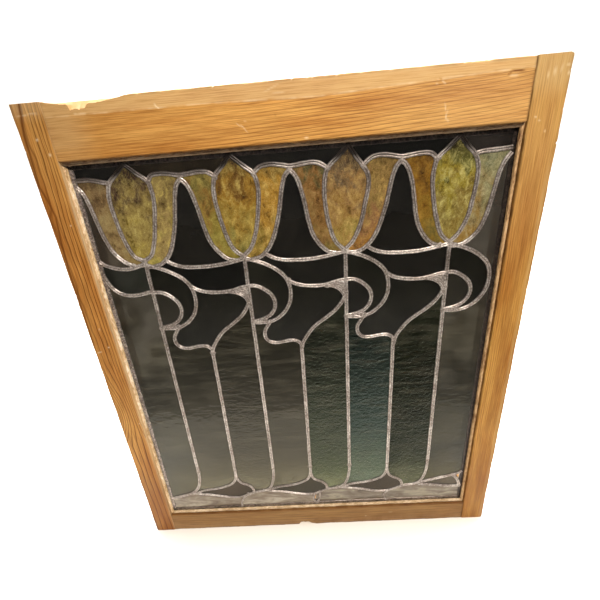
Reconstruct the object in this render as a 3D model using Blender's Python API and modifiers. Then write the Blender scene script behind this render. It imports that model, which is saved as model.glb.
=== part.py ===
"""Tulip window: a pine sash glazed with one leaded stained glass panel.

The sash stands upright on Z = 0 with its front face towards -Y and X = 0 halfway along it.
The leaded panel drops into a rebate from the front and thin wooden beads hold it there.
"""

from math import pi

import bmesh
import bpy
from mathutils import Vector
from mathutils.geometry import delaunay_2d_cdt

# Sash, in metres
SASH_WIDTH = 0.660
SASH_HEIGHT = 0.762
SASH_THICKNESS = 0.035
LEFT_STILE = 0.0385
RIGHT_STILE = 0.0405
TOP_RAIL = 0.0665
BOTTOM_RAIL = 0.042
LIP_WIDTH = 0.006
WOOD_ROUNDING = 0.001

# Glazing, measured back from the front face of the sash
BEAD_WIDTH = 0.0044
BEAD_RECESS = 0.0045
PANEL_RECESS = 0.009
CAME_THICKNESS = 0.005
GLASS_THICKNESS = 0.003
FIT_GAP = 0.0003

# Leadwork, in millimetres
CAME = 6.0
THIN_CAME = 4.6
BORDER_SHOWING = 5.2
CURVE_STEP = 1.5
CURVE_TOLERANCE = 0.45
STRAIGHT_WITHIN = 0.08
SMALLEST_PANE = 120.0
LAP = 0.3
SHARPEST_MITRE = 0.4
SLIVER = 1e-3
SAME_POINT = 1e-5

# Wood split off the front edges: (distance from the sash's left side, height gone). A break
# runs out to nothing at BREAK_DEPTH behind the front face, and its ends lie clear of the edge.
CLEAR = 0.004
TOP_BREAK = ((0.041, -CLEAR), (0.047, 0.0020), (0.070, 0.0055), (0.0725, 0.0112),
             (0.0915, 0.0112), (0.094, 0.0066), (0.110, 0.0060), (0.132, 0.0030),
             (0.150, -CLEAR))
BOTTOM_BREAK = ((0.294, -CLEAR), (0.298, 0.0075), (0.316, 0.0080), (0.320, 0.0040),
                (0.334, -CLEAR))
BREAK_DEPTH = 0.012

# The cartoon is the full-size drawing of the panel: millimetres, x to the right, y down,
# from the top left corner of the light. The lines at its edges end on the border cames'
# centre lines, so another sash size stretches it to fit.

# Each tulip was cut by hand. Stem x, then relative to the stem: tip x, left shoulder,
# right shoulder, left flank x, right flank x, and the y of the base of the middle petal.
TULIPS = (
    (68.6, 3.5, (-21.5, 24.5), (30.5, 26.5), -27.1, 33.0, 131.0),
    (212.7, -1.8, (-24.5, 26.5), (26.5, 26.5), -29.0, 30.9, 134.5),
    (357.3, 5.5, (-20.8, 27.5), (24.5, 28.0), -26.5, 32.1, 136.0),
    (502.7, 0.0, (-26.0, 27.0), (22.5, 27.0), -30.1, 27.5, 136.0),
)

# Lines that every tulip repeats, relative to its stem
LEFT_FLANK_Y = 50.0
RIGHT_FLANK_Y = 47.0
LOWER_LEFT_SIDE = ((-20.5, 104.0), (-12.7, 124.0))
LOWER_RIGHT_SIDE = ((20.3, 104.0), (10.8, 124.0))

# How the middle petal swells between those points: the rise over its tip and its flanks, the
# share of the flank's x above it, and the shares of flank and lower side at the waist
TIP_RISE = 1.0
FLANK_RISE = 0.5
FLANK_SHARE = 0.75
WAIST_DROP = 2.0
WAIST_FLANK = 0.4
WAIST_SIDE = 0.7

SPLIT_Y = 281.5
PAST_SPLIT = 6.5
STEM_END = 545.0
PEAK = (73.5, 26.3)
LEFT_PETAL = ((-66.8, 29.3), (-63.0, 34.5), (-59.8, 42.0), (-57.2, 50.5), (-53.3, 70.3),
              (-50.0, 90.3), (-45.4, 108.0), (-40.6, 118.0), (-35.6, 125.3), (-29.0, 132.6),
              (-22.5, 137.0), (-14.0, 139.5))
RIGHT_PETAL = ((68.0, 31.5), (64.6, 39.0), (61.8, 49.0), (59.8, 59.0), (55.5, 78.5),
               (52.6, 89.0), (49.6, 98.5), (46.4, 107.5), (42.3, 116.5), (37.3, 124.5),
               (31.5, 131.0), (23.0, 137.0), (13.0, 140.0), (2.0, 139.5))
OUTER_LEAF = ((0.0, 137.0), (8.0, 140.0), (20.0, 144.1), (34.0, 150.8), (46.0, 158.6),
              (55.0, 167.8), (60.0, 177.8), (62.0, 190.8), (60.3, 206.8), (54.5, 219.3),
              (45.5, 229.3), (34.0, 236.8), (22.0, 239.8), (10.0, 239.8), (0.0, 238.8))
INNER_LEAF = ((0.0, 179.3), (11.0, 179.8), (20.0, 183.8), (28.5, 190.3), (34.5, 197.8),
              (37.3, 207.8), (35.5, 218.3), (28.5, 227.8), (20.0, 232.8), (10.0, 235.8),
              (0.0, 237.0))
STEM_FOOT = ((-34.0, 603.4), (-24.0, 602.0), (-16.0, 598.8), (-10.0, 593.3), (-5.8, 584.8),
             (-2.8, 574.8), (-0.5, 560.0), (0.0, STEM_END))

# Lines between one tulip and the next, relative to the left one's stem; the second list
# of a pair is relative to the right one's stem
WAVE = (((36.0, 19.1), (45.0, 17.3), (55.0, 17.7), (65.0, 19.7), (73.0, 21.2)),
        ((-63.0, 20.8), (-52.0, 19.5), (-41.0, 19.1), (-33.0, 20.6)))
UPPER_SAG = (((30.0, 132.0), (38.0, 137.6), (46.0, 141.2), (58.0, 144.0), (72.0, 145.2),
              (88.0, 145.4)), ((-44.0, 144.8), (-30.0, 143.4), (-16.0, 140.8), (0.0, 138.0)))
LOWER_SAG = (((60.0, 174.6), (66.0, 178.6), (73.0, 181.7), (82.0, 184.0), (93.0, 185.6)),
             ((-40.0, 186.0), (-29.0, 185.2), (-19.0, 183.0), (-9.0, 180.6), (0.0, 179.6)))
SWOOP = ((27.0, 238.5), (21.5, 246.8), (17.0, 254.3), (16.0, 261.8), (18.0, 268.8),
         (23.5, 274.2), (32.0, 276.3), (44.0, 275.2), (56.0, 273.8), (66.0, 275.6),
         (72.5, SPLIT_Y))
SWAN_NECK = ((0.0, 201.0), (-2.6, 206.0), (-5.4, 211.8), (-10.0, 218.8), (-18.0, 227.9),
             (-27.5, 235.6), (-40.5, 244.9), (-51.0, 253.3), (-59.5, 263.2), (-65.3, 271.3),
             (-69.6, 279.0), (-71.7, SPLIT_Y + PAST_SPLIT))
FILLET = ((-28.0, 186.6), (-17.0, 189.8), (-9.5, 194.3), (-4.6, 200.8), (-2.5, 208.0))
SIDE_SHOOT = ((72.4, SPLIT_Y), (71.8, 400.0), (70.6, STEM_END))
LENS_LEFT = ((-12.0, 601.3), (-5.0, 596.8), (4.0, 593.8), (15.0, 592.1), (27.0, 590.8),
             (38.0, 588.6), (49.0, 585.1), (58.0, 581.0), (64.5, 575.3), (68.5, 566.8),
             (70.3, 556.0), (70.6, STEM_END))
LENS_RIGHT = ((70.6, STEM_END), (70.7, 556.0), (72.0, 566.0), (74.8, 573.8), (81.5, 580.3),
              (90.0, 584.6), (97.0, 590.8), (100.0, 597.8), (100.8, 604.8))
LENS_BOTTOM = ((-23.0, 601.2), (-13.0, 602.5), (-2.0, 604.6), (9.0, 606.0), (22.0, 608.8),
               (36.0, 612.4), (50.0, 615.4), (64.0, 616.8), (75.0, 615.5), (84.0, 612.0),
               (92.0, 608.4), (101.0, 605.1))
BASE_LEADS = (((89.0, 610.0), (80.0, 617.5), (75.0, 625.0), (72.8, 632.0), (72.0, 641.4)),
              ((86.0, 611.5), (79.0, 618.5), (76.5, 626.0), (76.0, 641.4)),
              ((76.0, 615.5), (69.5, 621.5), (66.5, 629.0), (68.0, 636.0), (70.3, 641.4)))

# Lines that run out to the left edge, relative to the first stem
LEFT_EDGE_LINES = (
    ((-66.0, 18.4), (-56.5, 18.1), (-48.5, 18.2), (-39.5, 19.8), (-31.5, 21.8), (-22.5, 24.0)),
    ((-66.0, 27.0), (-62.5, 31.0), (-59.0, 38.0), (-56.5, 48.0), (-54.6, 60.0), (-52.0, 79.0),
     (-48.6, 96.0), (-44.6, 109.0), (-40.0, 118.0), (-34.8, 125.3), (-27.5, 132.0),
     (-18.0, 137.2)),
    ((-66.0, 127.6), (-61.0, 132.0), (-53.5, 135.9), (-44.7, 139.1), (-34.7, 140.9),
     (-24.7, 140.9), (-14.7, 139.1), (-7.0, 136.9), (0.0, 136.0)),
    ((-66.0, 148.5), (-64.3, 155.8), (-61.6, 162.8), (-57.2, 170.3), (-51.0, 175.9),
     (-43.5, 179.7), (-33.5, 181.6), (-23.5, 181.6), (-14.7, 180.3), (-6.0, 178.6),
     (0.0, 178.2)),
    ((-66.0, 614.6), (-61.0, 611.3), (-51.0, 608.2), (-41.0, 605.7), (-31.0, 602.8),
     (-23.5, 600.0), (-16.0, 595.6), (-10.0, 589.0), (-5.8, 581.0), (-2.8, 571.0),
     (-0.5, 558.0), (0.0, STEM_END)),
)

# Lines that run out to the right edge, relative to the last stem
RIGHT_EDGE_LINES = (
    ((23.5, 24.6), (29.4, 23.1), (36.4, 22.6), (46.4, 22.2), (56.4, 21.8), (66.7, 21.2)),
    ((66.7, 26.8), (62.0, 33.0), (58.2, 39.5), (55.0, 49.0), (53.2, 59.0), (50.0, 79.0),
     (47.3, 94.0), (44.6, 105.0), (40.8, 115.5), (35.8, 124.5), (29.0, 132.0),
     (19.5, 138.6), (9.5, 141.0), (0.0, 140.5)),
    ((-12.6, 601.3), (-5.6, 597.0), (4.4, 594.2), (14.4, 591.3), (26.9, 588.2), (36.9, 585.7),
     (44.4, 583.8), (53.2, 581.6), (60.4, 578.3), (66.7, 573.5)),
    ((-13.0, 602.6), (-3.0, 603.8), (6.8, 605.1), (16.4, 606.2), (26.9, 608.2), (39.4, 610.7),
     (51.9, 611.5), (66.7, 612.4)),
    ((50.0, 582.6), (56.6, 589.8), (61.5, 598.8), (64.8, 610.0)),
)

# A point inside each pane, relative to a stem
PANES_OF_A_TULIP = {
    "centre_petal": (2.0, 80.0),
    "left_petal": (-41.0, 85.0),
    "right_petal": (41.0, 80.0),
    "outer_leaf": (48.5, 195.0),
    "inner_leaf": (18.0, 208.0),
}
PANES_AFTER_A_TULIP = {
    "top_ground": (72.0, 11.0),
    "bell": (72.0, 90.0),
    "band": (82.0, 163.0),
    "bud": (90.0, 225.0),
    "long_pane_left_of_shoot": (36.0, 420.0),
    "long_pane_right_of_shoot": (108.0, 420.0),
    "lens": (55.0, 600.0),
    "base_pane": (110.0, 621.0),
}
LEFT_EDGE_PANES = {
    "top_ground_left": (-45.0, 10.0),
    "bell_left": (-57.0, 114.0),
    "band_left": (-35.0, 160.0),
    "long_pane_left_edge": (-35.0, 420.0),
    "base_pane_left": (0.0, 621.0),
}
RIGHT_EDGE_PANES = {
    "top_ground_right": (45.0, 12.0),
    "bell_right": (56.0, 125.0),
    "long_pane_right_edge": (35.0, 420.0),
    "lens_right": (35.0, 599.0),
}

# Colour, roughness and metallic value of each material, and whether light passes
LIGHT_PASSED = 0.8
MATERIALS = {
    "pine": ((0.50, 0.25, 0.08), 0.55, 0.0, False),
    "pale_bead": ((0.62, 0.40, 0.20), 0.65, 0.0, False),
    "lead": ((0.28, 0.27, 0.27), 0.45, 1.0, False),
    "dark_green_glass": ((0.02, 0.03, 0.02), 0.08, 0.0, True),
    "grey_green_glass": ((0.08, 0.11, 0.07), 0.15, 0.0, True),
    "amber_glass": ((0.42, 0.28, 0.06), 0.2, 0.0, True),
    "mauve_glass": ((0.10, 0.06, 0.06), 0.2, 0.0, True),
    "streaky_glass": ((0.35, 0.30, 0.24), 0.25, 0.0, True),
}


def material(name):
    """The named material, made the first time that it is asked for."""
    if name in bpy.data.materials:
        return bpy.data.materials[name]
    colour, roughness, metallic, clear = MATERIALS[name]
    made = bpy.data.materials.new(name)
    made.use_nodes = True
    shader = made.node_tree.nodes["Principled BSDF"]
    shader.inputs["Base Color"].default_value = (*colour, 1.0)
    shader.inputs["Roughness"].default_value = roughness
    shader.inputs["Metallic"].default_value = metallic
    shader.inputs["Transmission Weight"].default_value = LIGHT_PASSED if clear else 0.0
    made.diffuse_color = (*colour, 1.0)
    return made


def box(name, low, high, collection):
    """A box between two corners, with its scale applied."""
    bpy.ops.mesh.primitive_cube_add(size=1)
    made = bpy.context.object
    made.name = name
    for vertex in made.data.vertices:
        vertex.co = [(0.5 + u) * (b - a) + a for u, a, b in zip(vertex.co, low, high)]
    for holder in list(made.users_collection):
        holder.objects.unlink(made)
    collection.objects.link(made)
    return made


def cut(body, cutter):
    """Takes the cutter's shape out of the body and hides the cutter."""
    carve = body.modifiers.new("cut by " + cutter.name, "BOOLEAN")
    carve.operation = "DIFFERENCE"
    carve.object = cutter
    cutter.hide_render = True
    cutter.display_type = "WIRE"


def member(name, low, high, pieces):
    """A planed length of pine, its outer arrises eased before anything is cut from it."""
    made = box(name, low, high, pieces)
    ease = made.modifiers.new("eased arrises", "BEVEL")
    ease.width = WOOD_ROUNDING
    ease.segments = 1
    ease.limit_method = "ANGLE"
    made.data.materials.append(material("pine"))
    return made


def split_off(name, outline, from_z, into, cutters):
    """A cutter that splits wood off a front edge, along an outline of (x, height) points.

    It is a box cut across at each point, whose underside is then lowered by the height there.
    """
    front = -SASH_THICKNESS / 2
    heights = {round(x - SASH_WIDTH / 2, 6): height for x, height in outline}
    places = list(heights)
    cutter = box(name, (places[0], front - CLEAR, -CLEAR),
                 (places[-1], front + BREAK_DEPTH, 2 * CLEAR), cutters)
    solid = bmesh.new()
    solid.from_mesh(cutter.data)
    for x in places[1:-1]:
        everything = solid.verts[:] + solid.edges[:] + solid.faces[:]
        bmesh.ops.bisect_plane(solid, geom=everything, plane_co=(x, 0, 0), plane_no=(1, 0, 0))
    for vertex in solid.verts:
        if vertex.co.z < 0 and vertex.co.y > front:
            vertex.co.z = CLEAR
        elif vertex.co.z < 0:
            nearest = min(places, key=lambda x: abs(x - vertex.co.x))
            vertex.co.z = -heights[nearest]
        vertex.co.z = from_z + into * vertex.co.z
    if into < 0:
        bmesh.ops.reverse_faces(solid, faces=solid.faces)
    solid.to_mesh(cutter.data)
    solid.free()
    return cutter


def sash(pieces, cutters):
    """Two full-height stiles, and two rails that butt between them, all rebated from the front."""
    front = -SASH_THICKNESS / 2
    back = SASH_THICKNESS / 2
    rebate_floor = front + PANEL_RECESS + CAME_THICKNESS + FIT_GAP
    left = -SASH_WIDTH / 2
    right = SASH_WIDTH / 2
    left_arris = left + LEFT_STILE
    right_arris = right - RIGHT_STILE
    top_arris = SASH_HEIGHT - TOP_RAIL
    past = 0.01

    left_stile = member("left_stile", (left, front, 0),
                        (left_arris + LIP_WIDTH, back, SASH_HEIGHT), pieces)
    right_stile = member("right_stile", (right_arris - LIP_WIDTH, front, 0),
                         (right, back, SASH_HEIGHT), pieces)
    cut(left_stile, box("left_rebate", (left_arris, front - past, -past),
                        (left_arris + 2 * LIP_WIDTH, rebate_floor, SASH_HEIGHT + past), cutters))
    cut(right_stile, box("right_rebate", (right_arris - 2 * LIP_WIDTH, front - past, -past),
                         (right_arris, rebate_floor, SASH_HEIGHT + past), cutters))

    # Behind the rebate floor the stiles' lips reach further in, so each rail is notched there
    rails = (
        ("bottom_rail", 0, BOTTOM_RAIL + LIP_WIDTH, BOTTOM_RAIL, BOTTOM_RAIL + 2 * LIP_WIDTH),
        ("top_rail", top_arris - LIP_WIDTH, SASH_HEIGHT, top_arris - 2 * LIP_WIDTH, top_arris),
    )
    made = []
    for name, low, high, rebate_low, rebate_high in rails:
        rail = member(name, (left_arris + FIT_GAP, front, low),
                      (right_arris - FIT_GAP, back, high), pieces)
        cut(rail, box(name + "_rebate", (left, front - past, rebate_low),
                      (right, rebate_floor, rebate_high), cutters))
        for side, start, end in (
            ("left", left, left_arris + LIP_WIDTH + FIT_GAP),
            ("right", right_arris - LIP_WIDTH - FIT_GAP, right),
        ):
            cut(rail, box(name + "_notch_" + side, (start, rebate_floor - FIT_GAP, low - past),
                          (end, back + past, high + past), cutters))
        made.append(rail)

    bottom_rail, top_rail = made
    cut(top_rail, split_off("top_break", TOP_BREAK, SASH_HEIGHT, 1, cutters))
    cut(bottom_rail, split_off("bottom_break", BOTTOM_BREAK, 0, -1, cutters))


def light():
    """Left, right, top and bottom of the opening inside the beads, in world metres."""
    return (
        -SASH_WIDTH / 2 + LEFT_STILE + BEAD_WIDTH,
        SASH_WIDTH / 2 - RIGHT_STILE - BEAD_WIDTH,
        SASH_HEIGHT - TOP_RAIL - BEAD_WIDTH,
        BOTTOM_RAIL + BEAD_WIDTH,
    )


def flat_outline(name, loops, thickness, middle, collection):
    """Loops of (x, z) points in metres, filled, given a thickness and stood upright."""
    curve = bpy.data.curves.new(name, "CURVE")
    curve.dimensions = "2D"
    curve.fill_mode = "BOTH"
    curve.extrude = thickness / 2
    for loop in loops:
        spline = curve.splines.new("POLY")
        spline.points.add(len(loop) - 1)
        for point, (x, z) in zip(spline.points, loop):
            point.co = (x, z, 0, 1)
        spline.use_cyclic_u = True
    made = bpy.data.objects.new(name, curve)
    made.rotation_euler = (pi / 2, 0, 0)
    made.location = (0, middle, 0)
    collection.objects.link(made)
    return made


def rectangle(left, right, top, bottom, grow=0.0):
    """The corners of a rectangle, moved outwards by grow."""
    return [(left - grow, bottom - grow), (right + grow, bottom - grow),
            (right + grow, top + grow), (left - grow, top + grow)]


def glazing_beads(pieces):
    """Four thin strips, mitred into one ring, that hold the panel in its rebate."""
    inside = rectangle(*light())
    outside = rectangle(*light(), grow=BEAD_WIDTH - FIT_GAP)
    depth = PANEL_RECESS - BEAD_RECESS - FIT_GAP
    middle = -SASH_THICKNESS / 2 + BEAD_RECESS + depth / 2
    ring = flat_outline("glazing_beads", (outside, inside), depth, middle, pieces)
    ring.data.materials.append(material("pale_bead"))


def smooth(points):
    """A curve through the points, as a dense line of Vectors."""
    points = [Vector(point) for point in points]
    ahead = [(b - a).normalized() for a, b in zip(points, points[1:])]
    slopes = [ahead[0], *((a + b) / 2 for a, b in zip(ahead, ahead[1:])), ahead[-1]]
    line = []
    for start, end, leave, arrive in zip(points, points[1:], slopes, slopes[1:]):
        length = (end - start).length
        count = max(2, round(length / CURVE_STEP))
        for index in range(count):
            t = index / count
            rest = 1 - t
            line.append(start * (rest * rest * (1 + 2 * t)) + end * (t * t * (3 - 2 * t))
                        + leave * (length * t * rest * rest) - arrive * (length * t * t * rest))
    return line + [points[-1]]


def thin_out(line, tolerance):
    """The fewest points of the line that stay within the tolerance of it."""
    if len(line) < 3:
        return line
    start, end = line[0], line[-1]
    along = end - start
    length = max(along.length, SAME_POINT)
    offsets = [abs(along.cross(point - start)) / length for point in line[1:-1]]
    furthest = max(range(len(offsets)), key=offsets.__getitem__) + 1
    if offsets[furthest - 1] <= tolerance:
        return [start, end]
    return (thin_out(line[:furthest + 1], tolerance)[:-1]
            + thin_out(line[furthest:], tolerance))


def lead_lines():
    """Every came as (points, width), in millimetres on the cartoon."""
    lines = []

    def add(stem, points, width=CAME):
        lines.append(([(stem + x, y) for x, y in points], width))

    for stem, tip, left, right, left_flank, right_flank, base in TULIPS:
        top = (tip, BORDER_SHOWING / 2)
        foot = (-1.0, base)
        for shoulder, flank, flank_y, lower_side in (
            (left, left_flank, LEFT_FLANK_Y, LOWER_LEFT_SIDE),
            (right, right_flank, RIGHT_FLANK_Y, LOWER_RIGHT_SIDE),
        ):
            over_tip = ((tip + shoulder[0]) / 2, (BORDER_SHOWING + shoulder[1]) / 2 - TIP_RISE)
            over_flank = (FLANK_SHARE * flank + (1 - FLANK_SHARE) * shoulder[0],
                          (shoulder[1] + flank_y) / 2 - FLANK_RISE)
            waist = (WAIST_FLANK * flank + WAIST_SIDE * lower_side[0][0],
                     (flank_y + lower_side[0][1]) / 2 + WAIST_DROP)
            add(stem, (top, over_tip, shoulder, over_flank, (flank, flank_y), waist,
                       *lower_side, foot))
        add(stem, OUTER_LEAF)
        add(stem, INNER_LEAF)
        add(stem, ((0.0, base), (0.0, STEM_END)))

    for number, (stem, _, _, right, _, _, _) in enumerate(TULIPS[:-1]):
        next_stem, _, left = TULIPS[number + 1][:3]
        apart = next_stem - stem

        def joined(pair):
            return (*pair[0], *((x + apart, y) for x, y in pair[1]))

        add(stem, (right, *joined(WAVE), (left[0] + apart, left[1])))
        add(stem, (PEAK, *RIGHT_PETAL))
        add(next_stem, ((PEAK[0] - apart, PEAK[1]), *LEFT_PETAL))
        add(stem, joined(UPPER_SAG))
        add(stem, joined(LOWER_SAG))
        add(stem, SWOOP)
        add(next_stem, SWAN_NECK)
        add(next_stem, FILLET, THIN_CAME)
        add(stem, SIDE_SHOOT)
        add(stem, LENS_LEFT)
        add(stem, LENS_RIGHT)
        add(stem, LENS_BOTTOM)
        add(stem, BASE_LEADS[number], THIN_CAME)
        add(next_stem, ((LENS_RIGHT[-1][0] - apart, LENS_RIGHT[-1][1]), *STEM_FOOT))

    for line in LEFT_EDGE_LINES:
        add(TULIPS[0][0], line)
    for line in RIGHT_EDGE_LINES:
        add(TULIPS[-1][0], line)
    return lines


def pane_seeds():
    """A cartoon point inside each pane, by the pane's name."""
    seeds = {}
    for number, (stem, *_) in enumerate(TULIPS, 1):
        groups = [(PANES_OF_A_TULIP, f"_{number}")]
        if number == 1:
            groups.append((LEFT_EDGE_PANES, ""))
        if number < len(TULIPS):
            groups.append((PANES_AFTER_A_TULIP, f"_{number}"))
        else:
            groups.append((RIGHT_EDGE_PANES, ""))
        for group, ending in groups:
            for name, (x, y) in group.items():
                seeds[name + ending] = (stem + x, y)
    return seeds


def onto_panel(lines):
    """A function that lays the cartoon on the upright panel, in world millimetres as (x, z).

    Its outermost points come to lie on the centre lines of the border cames.
    """
    left, right, top, bottom = (1000 * edge for edge in light())
    half = BORDER_SHOWING / 2
    xs = [x for points, _ in lines for x, _ in points]
    ys = [y for points, _ in lines for _, y in points]
    across = (right - left - 2 * half) / (max(xs) - min(xs))
    down = (top - bottom - 2 * half) / (max(ys) - min(ys))

    def place(x, y):
        return Vector((left + half + (x - min(xs)) * across, top - half - (y - min(ys)) * down))

    return place


def oriented(quad):
    """The two triangles of a quad, both anticlockwise, also where a tight bend folds it."""
    triangles = []
    for a, b, c in ((quad[0], quad[1], quad[2]), (quad[0], quad[2], quad[3])):
        turn = (b - a).cross(c - a)
        if abs(turn) > SLIVER:
            triangles.append([a, b, c] if turn > 0 else [a, c, b])
    return triangles


def strip(line, width):
    """Triangles along a line, width wide, mitred at the bends and a little longer than it."""
    ahead = [(b - a).normalized() for a, b in zip(line, line[1:])]
    lap = LAP * width
    line = [line[0] - ahead[0] * lap, *line[1:-1], line[-1] + ahead[-1] * lap]
    left, right = [], []
    for index, point in enumerate(line):
        before = ahead[max(index - 1, 0)]
        after = ahead[min(index, len(ahead) - 1)]
        bisector = (before + after).normalized()
        mitre = 0.5 * width / max(bisector.dot(after), SHARPEST_MITRE)
        across = Vector((-bisector.y, bisector.x)) * mitre
        left.append(point + across)
        right.append(point - across)
    triangles = []
    for index in range(len(ahead)):
        quad = (right[index], right[index + 1], left[index + 1], left[index])
        triangles += oriented(quad)
    return triangles


def border_strips(grow):
    """Triangles of the four edge cames, from the hidden rim to the inner edge that shows."""
    left, right, top, bottom = (1000 * edge for edge in light())
    rim = 1000 * (BEAD_WIDTH - 2 * FIT_GAP)
    inner = BORDER_SHOWING + grow
    corners = rectangle(left, right, top, bottom, rim)
    hole = rectangle(left, right, top, bottom, -inner)
    triangles = []
    for i in range(4):
        quad = (corners[i], corners[i - 3], hole[i - 3], hole[i])
        triangles += oriented([Vector(corner) for corner in quad])
    return triangles


def openings(grow):
    """The outline of every opening between cames that are grow wider on each side."""
    covered = border_strips(grow)
    lines = lead_lines()
    place = onto_panel(lines)
    for points, width in lines:
        line = thin_out(smooth([place(x, y) for x, y in points]), CURVE_TOLERANCE)
        covered += strip(line, width + 2 * grow)
    corners = [corner for triangle in covered for corner in triangle]
    faces = [list(range(3 * i, 3 * i + 3)) for i in range(len(covered))]
    points, _, triangles, _, _, sources = delaunay_2d_cdt(corners, [], faces, 0, SAME_POINT)
    clear = [list(corners) for corners, source in zip(triangles, sources) if not source]

    # Triangles that share an edge belong to the same opening
    beside = {}
    for index, triangle in enumerate(clear):
        for a, b in zip(triangle, triangle[1:] + triangle[:1]):
            beside[a, b] = index
    found, seen = [], set()
    for first in range(len(clear)):
        if first in seen:
            continue
        seen.add(first)
        group, todo = [], [first]
        while todo:
            index = todo.pop()
            group.append(clear[index])
            triangle = clear[index]
            for a, b in zip(triangle, triangle[1:] + triangle[:1]):
                other = beside.get((b, a))
                if other is not None and other not in seen:
                    seen.add(other)
                    todo.append(other)
        found.append(group)
    return [(outline(group, points), [[points[i] for i in t] for t in group]) for group in found]


def outline(group, points):
    """The widest boundary of a group of triangles, without points on a straight run."""
    edges = {(a, b) for t in group for a, b in zip(t, t[1:] + t[:1])}
    after = {}
    for a, b in sorted(edges):
        if (b, a) not in edges:
            after.setdefault(a, []).append(b)

    # Where a narrow opening pinches shut at a point, its two sides are separate loops
    loops = []
    while after:
        trail = [next(iter(after))]
        while trail[-1] not in trail[:-1]:
            corner = trail[-1]
            trail.append(after[corner].pop())
            if not after[corner]:
                del after[corner]
        first = trail.index(trail[-1])
        for a, b in zip(trail[:first], trail[1:]):
            after.setdefault(a, []).append(b)
        loops.append([points[index] for index in trail[first + 1:]])
    loop = max(loops, key=area)
    far = max(range(len(loop)), key=lambda index: (loop[index] - loop[0]).length)
    return (thin_out(loop[:far + 1], STRAIGHT_WITHIN)[:-1]
            + thin_out(loop[far:] + loop[:1], STRAIGHT_WITHIN)[:-1])


def area(loop):
    """The area inside a loop."""
    return abs(sum(a.cross(b) for a, b in zip(loop, loop[1:] + loop[:1]))) / 2


def holds(triangles, point):
    """Whether one of the triangles has the point in it."""
    for a, b, c in triangles:
        turns = [(q - p).cross(point - p) for p, q in ((a, b), (b, c), (c, a))]
        if min(turns) >= 0 or max(turns) <= 0:
            return True
    return False


def in_metres(loop):
    """Vectors in millimetres as (x, z) pairs in metres."""
    return [(point.x / 1000, point.y / 1000) for point in loop]


def glass_of(name):
    """The material of a pane, from its name."""
    if "petal" in name:
        return "amber_glass"
    if name.startswith("lens"):
        return "mauve_glass"
    if name.startswith("base"):
        return "streaky_glass"
    if name.startswith("long"):
        return "grey_green_glass"
    return "dark_green_glass"


def leaded_panel(pieces):
    """The soldered lead lattice, and each pane of glass between its cames."""
    middle = -SASH_THICKNESS / 2 + PANEL_RECESS + CAME_THICKNESS / 2
    rim = rectangle(*light(), grow=BEAD_WIDTH - 2 * FIT_GAP)
    holes = [loop for loop, _ in openings(0.0) if area(loop) > SMALLEST_PANE]
    lattice = flat_outline("leadwork", [rim, *map(in_metres, holes)], CAME_THICKNESS, middle, pieces)
    lattice.data.materials.append(material("lead"))

    panes = openings(1000 * FIT_GAP)
    place = onto_panel(lead_lines())
    for name, seed in pane_seeds().items():
        spot = place(*seed)
        loop = next(loop for loop, triangles in panes if holds(triangles, spot))
        pane = flat_outline(name, [in_metres(loop)], GLASS_THICKNESS, middle, pieces)
        pane.data.materials.append(material(glass_of(name)))


def main():
    """Clears the scene and builds the sash, its beads and the leaded panel."""
    for old in list(bpy.data.objects):
        bpy.data.objects.remove(old)
    pieces = bpy.data.collections.new("tulip window")
    cutters = bpy.data.collections.new("cutters")
    bpy.context.scene.collection.children.link(pieces)
    bpy.context.scene.collection.children.link(cutters)
    sash(pieces, cutters)
    glazing_beads(pieces)
    leaded_panel(pieces)


main()
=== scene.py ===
import math

import bmesh
import bpy
import numpy as np
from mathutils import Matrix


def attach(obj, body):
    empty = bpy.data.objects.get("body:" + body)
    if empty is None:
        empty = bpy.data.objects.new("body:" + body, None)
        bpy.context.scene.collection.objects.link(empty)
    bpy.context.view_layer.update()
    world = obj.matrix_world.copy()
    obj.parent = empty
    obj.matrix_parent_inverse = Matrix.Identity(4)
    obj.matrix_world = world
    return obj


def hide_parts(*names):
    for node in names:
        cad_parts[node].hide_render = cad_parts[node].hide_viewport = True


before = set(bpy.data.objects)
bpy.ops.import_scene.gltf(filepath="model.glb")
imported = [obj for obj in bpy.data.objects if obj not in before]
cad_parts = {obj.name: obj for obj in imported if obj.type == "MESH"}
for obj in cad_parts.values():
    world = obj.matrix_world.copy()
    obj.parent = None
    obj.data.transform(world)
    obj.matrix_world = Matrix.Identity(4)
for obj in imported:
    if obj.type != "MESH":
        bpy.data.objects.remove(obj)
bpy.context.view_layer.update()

# The sash: four lengths of old pine, planed and rebated for the light. Two stiles run the
# full height and the rails butt between them. The arrises are worn, and wood has split off
# the front of the top rail and of the bottom rail.
SASH_WIDTH = 0.660
SASH_HEIGHT = 0.762
THICKNESS = 0.035
FRONT = -THICKNESS / 2
LEFT_STILE = 0.0385
RIGHT_STILE = 0.0405
TOP_RAIL = 0.0665
BOTTOM_RAIL = 0.042
LIP = 0.006
REBATE_DEPTH = 0.0143
JOINT = 0.0003
OPEN_JOINT = 0.0009
STATION = 0.0014


def linear(colour):
    """An sRGB hex colour as linear RGBA: the sRGB transfer curve undone channel by channel."""
    channels = np.array([int(colour[i:i + 2], 16) for i in (1, 3, 5)]) / 255
    bright = channels > 0.04045
    values = np.where(bright, ((channels + 0.055) / 1.055) ** 2.4, channels / 12.92)
    return (*values, 1.0)


def every(millimetres):
    """The scale that puts one wave or grain of a pattern in this many millimetres."""
    return 1000 / millimetres


def waver(t, wavelength, seed):
    """A smooth hand-made unevenness from -1 to 1: five sines of seeded phase, summed."""
    random = np.random.default_rng(seed)
    t = np.asarray(t, float) * 2 * np.pi / wavelength
    total = np.zeros_like(t)
    for octave in range(5):
        rate = 1.7 ** octave * random.uniform(0.8, 1.2)
        total += np.sin(t * rate + random.uniform(0, 6.3)) / 1.5 ** octave
    return total / 2.2


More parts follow.
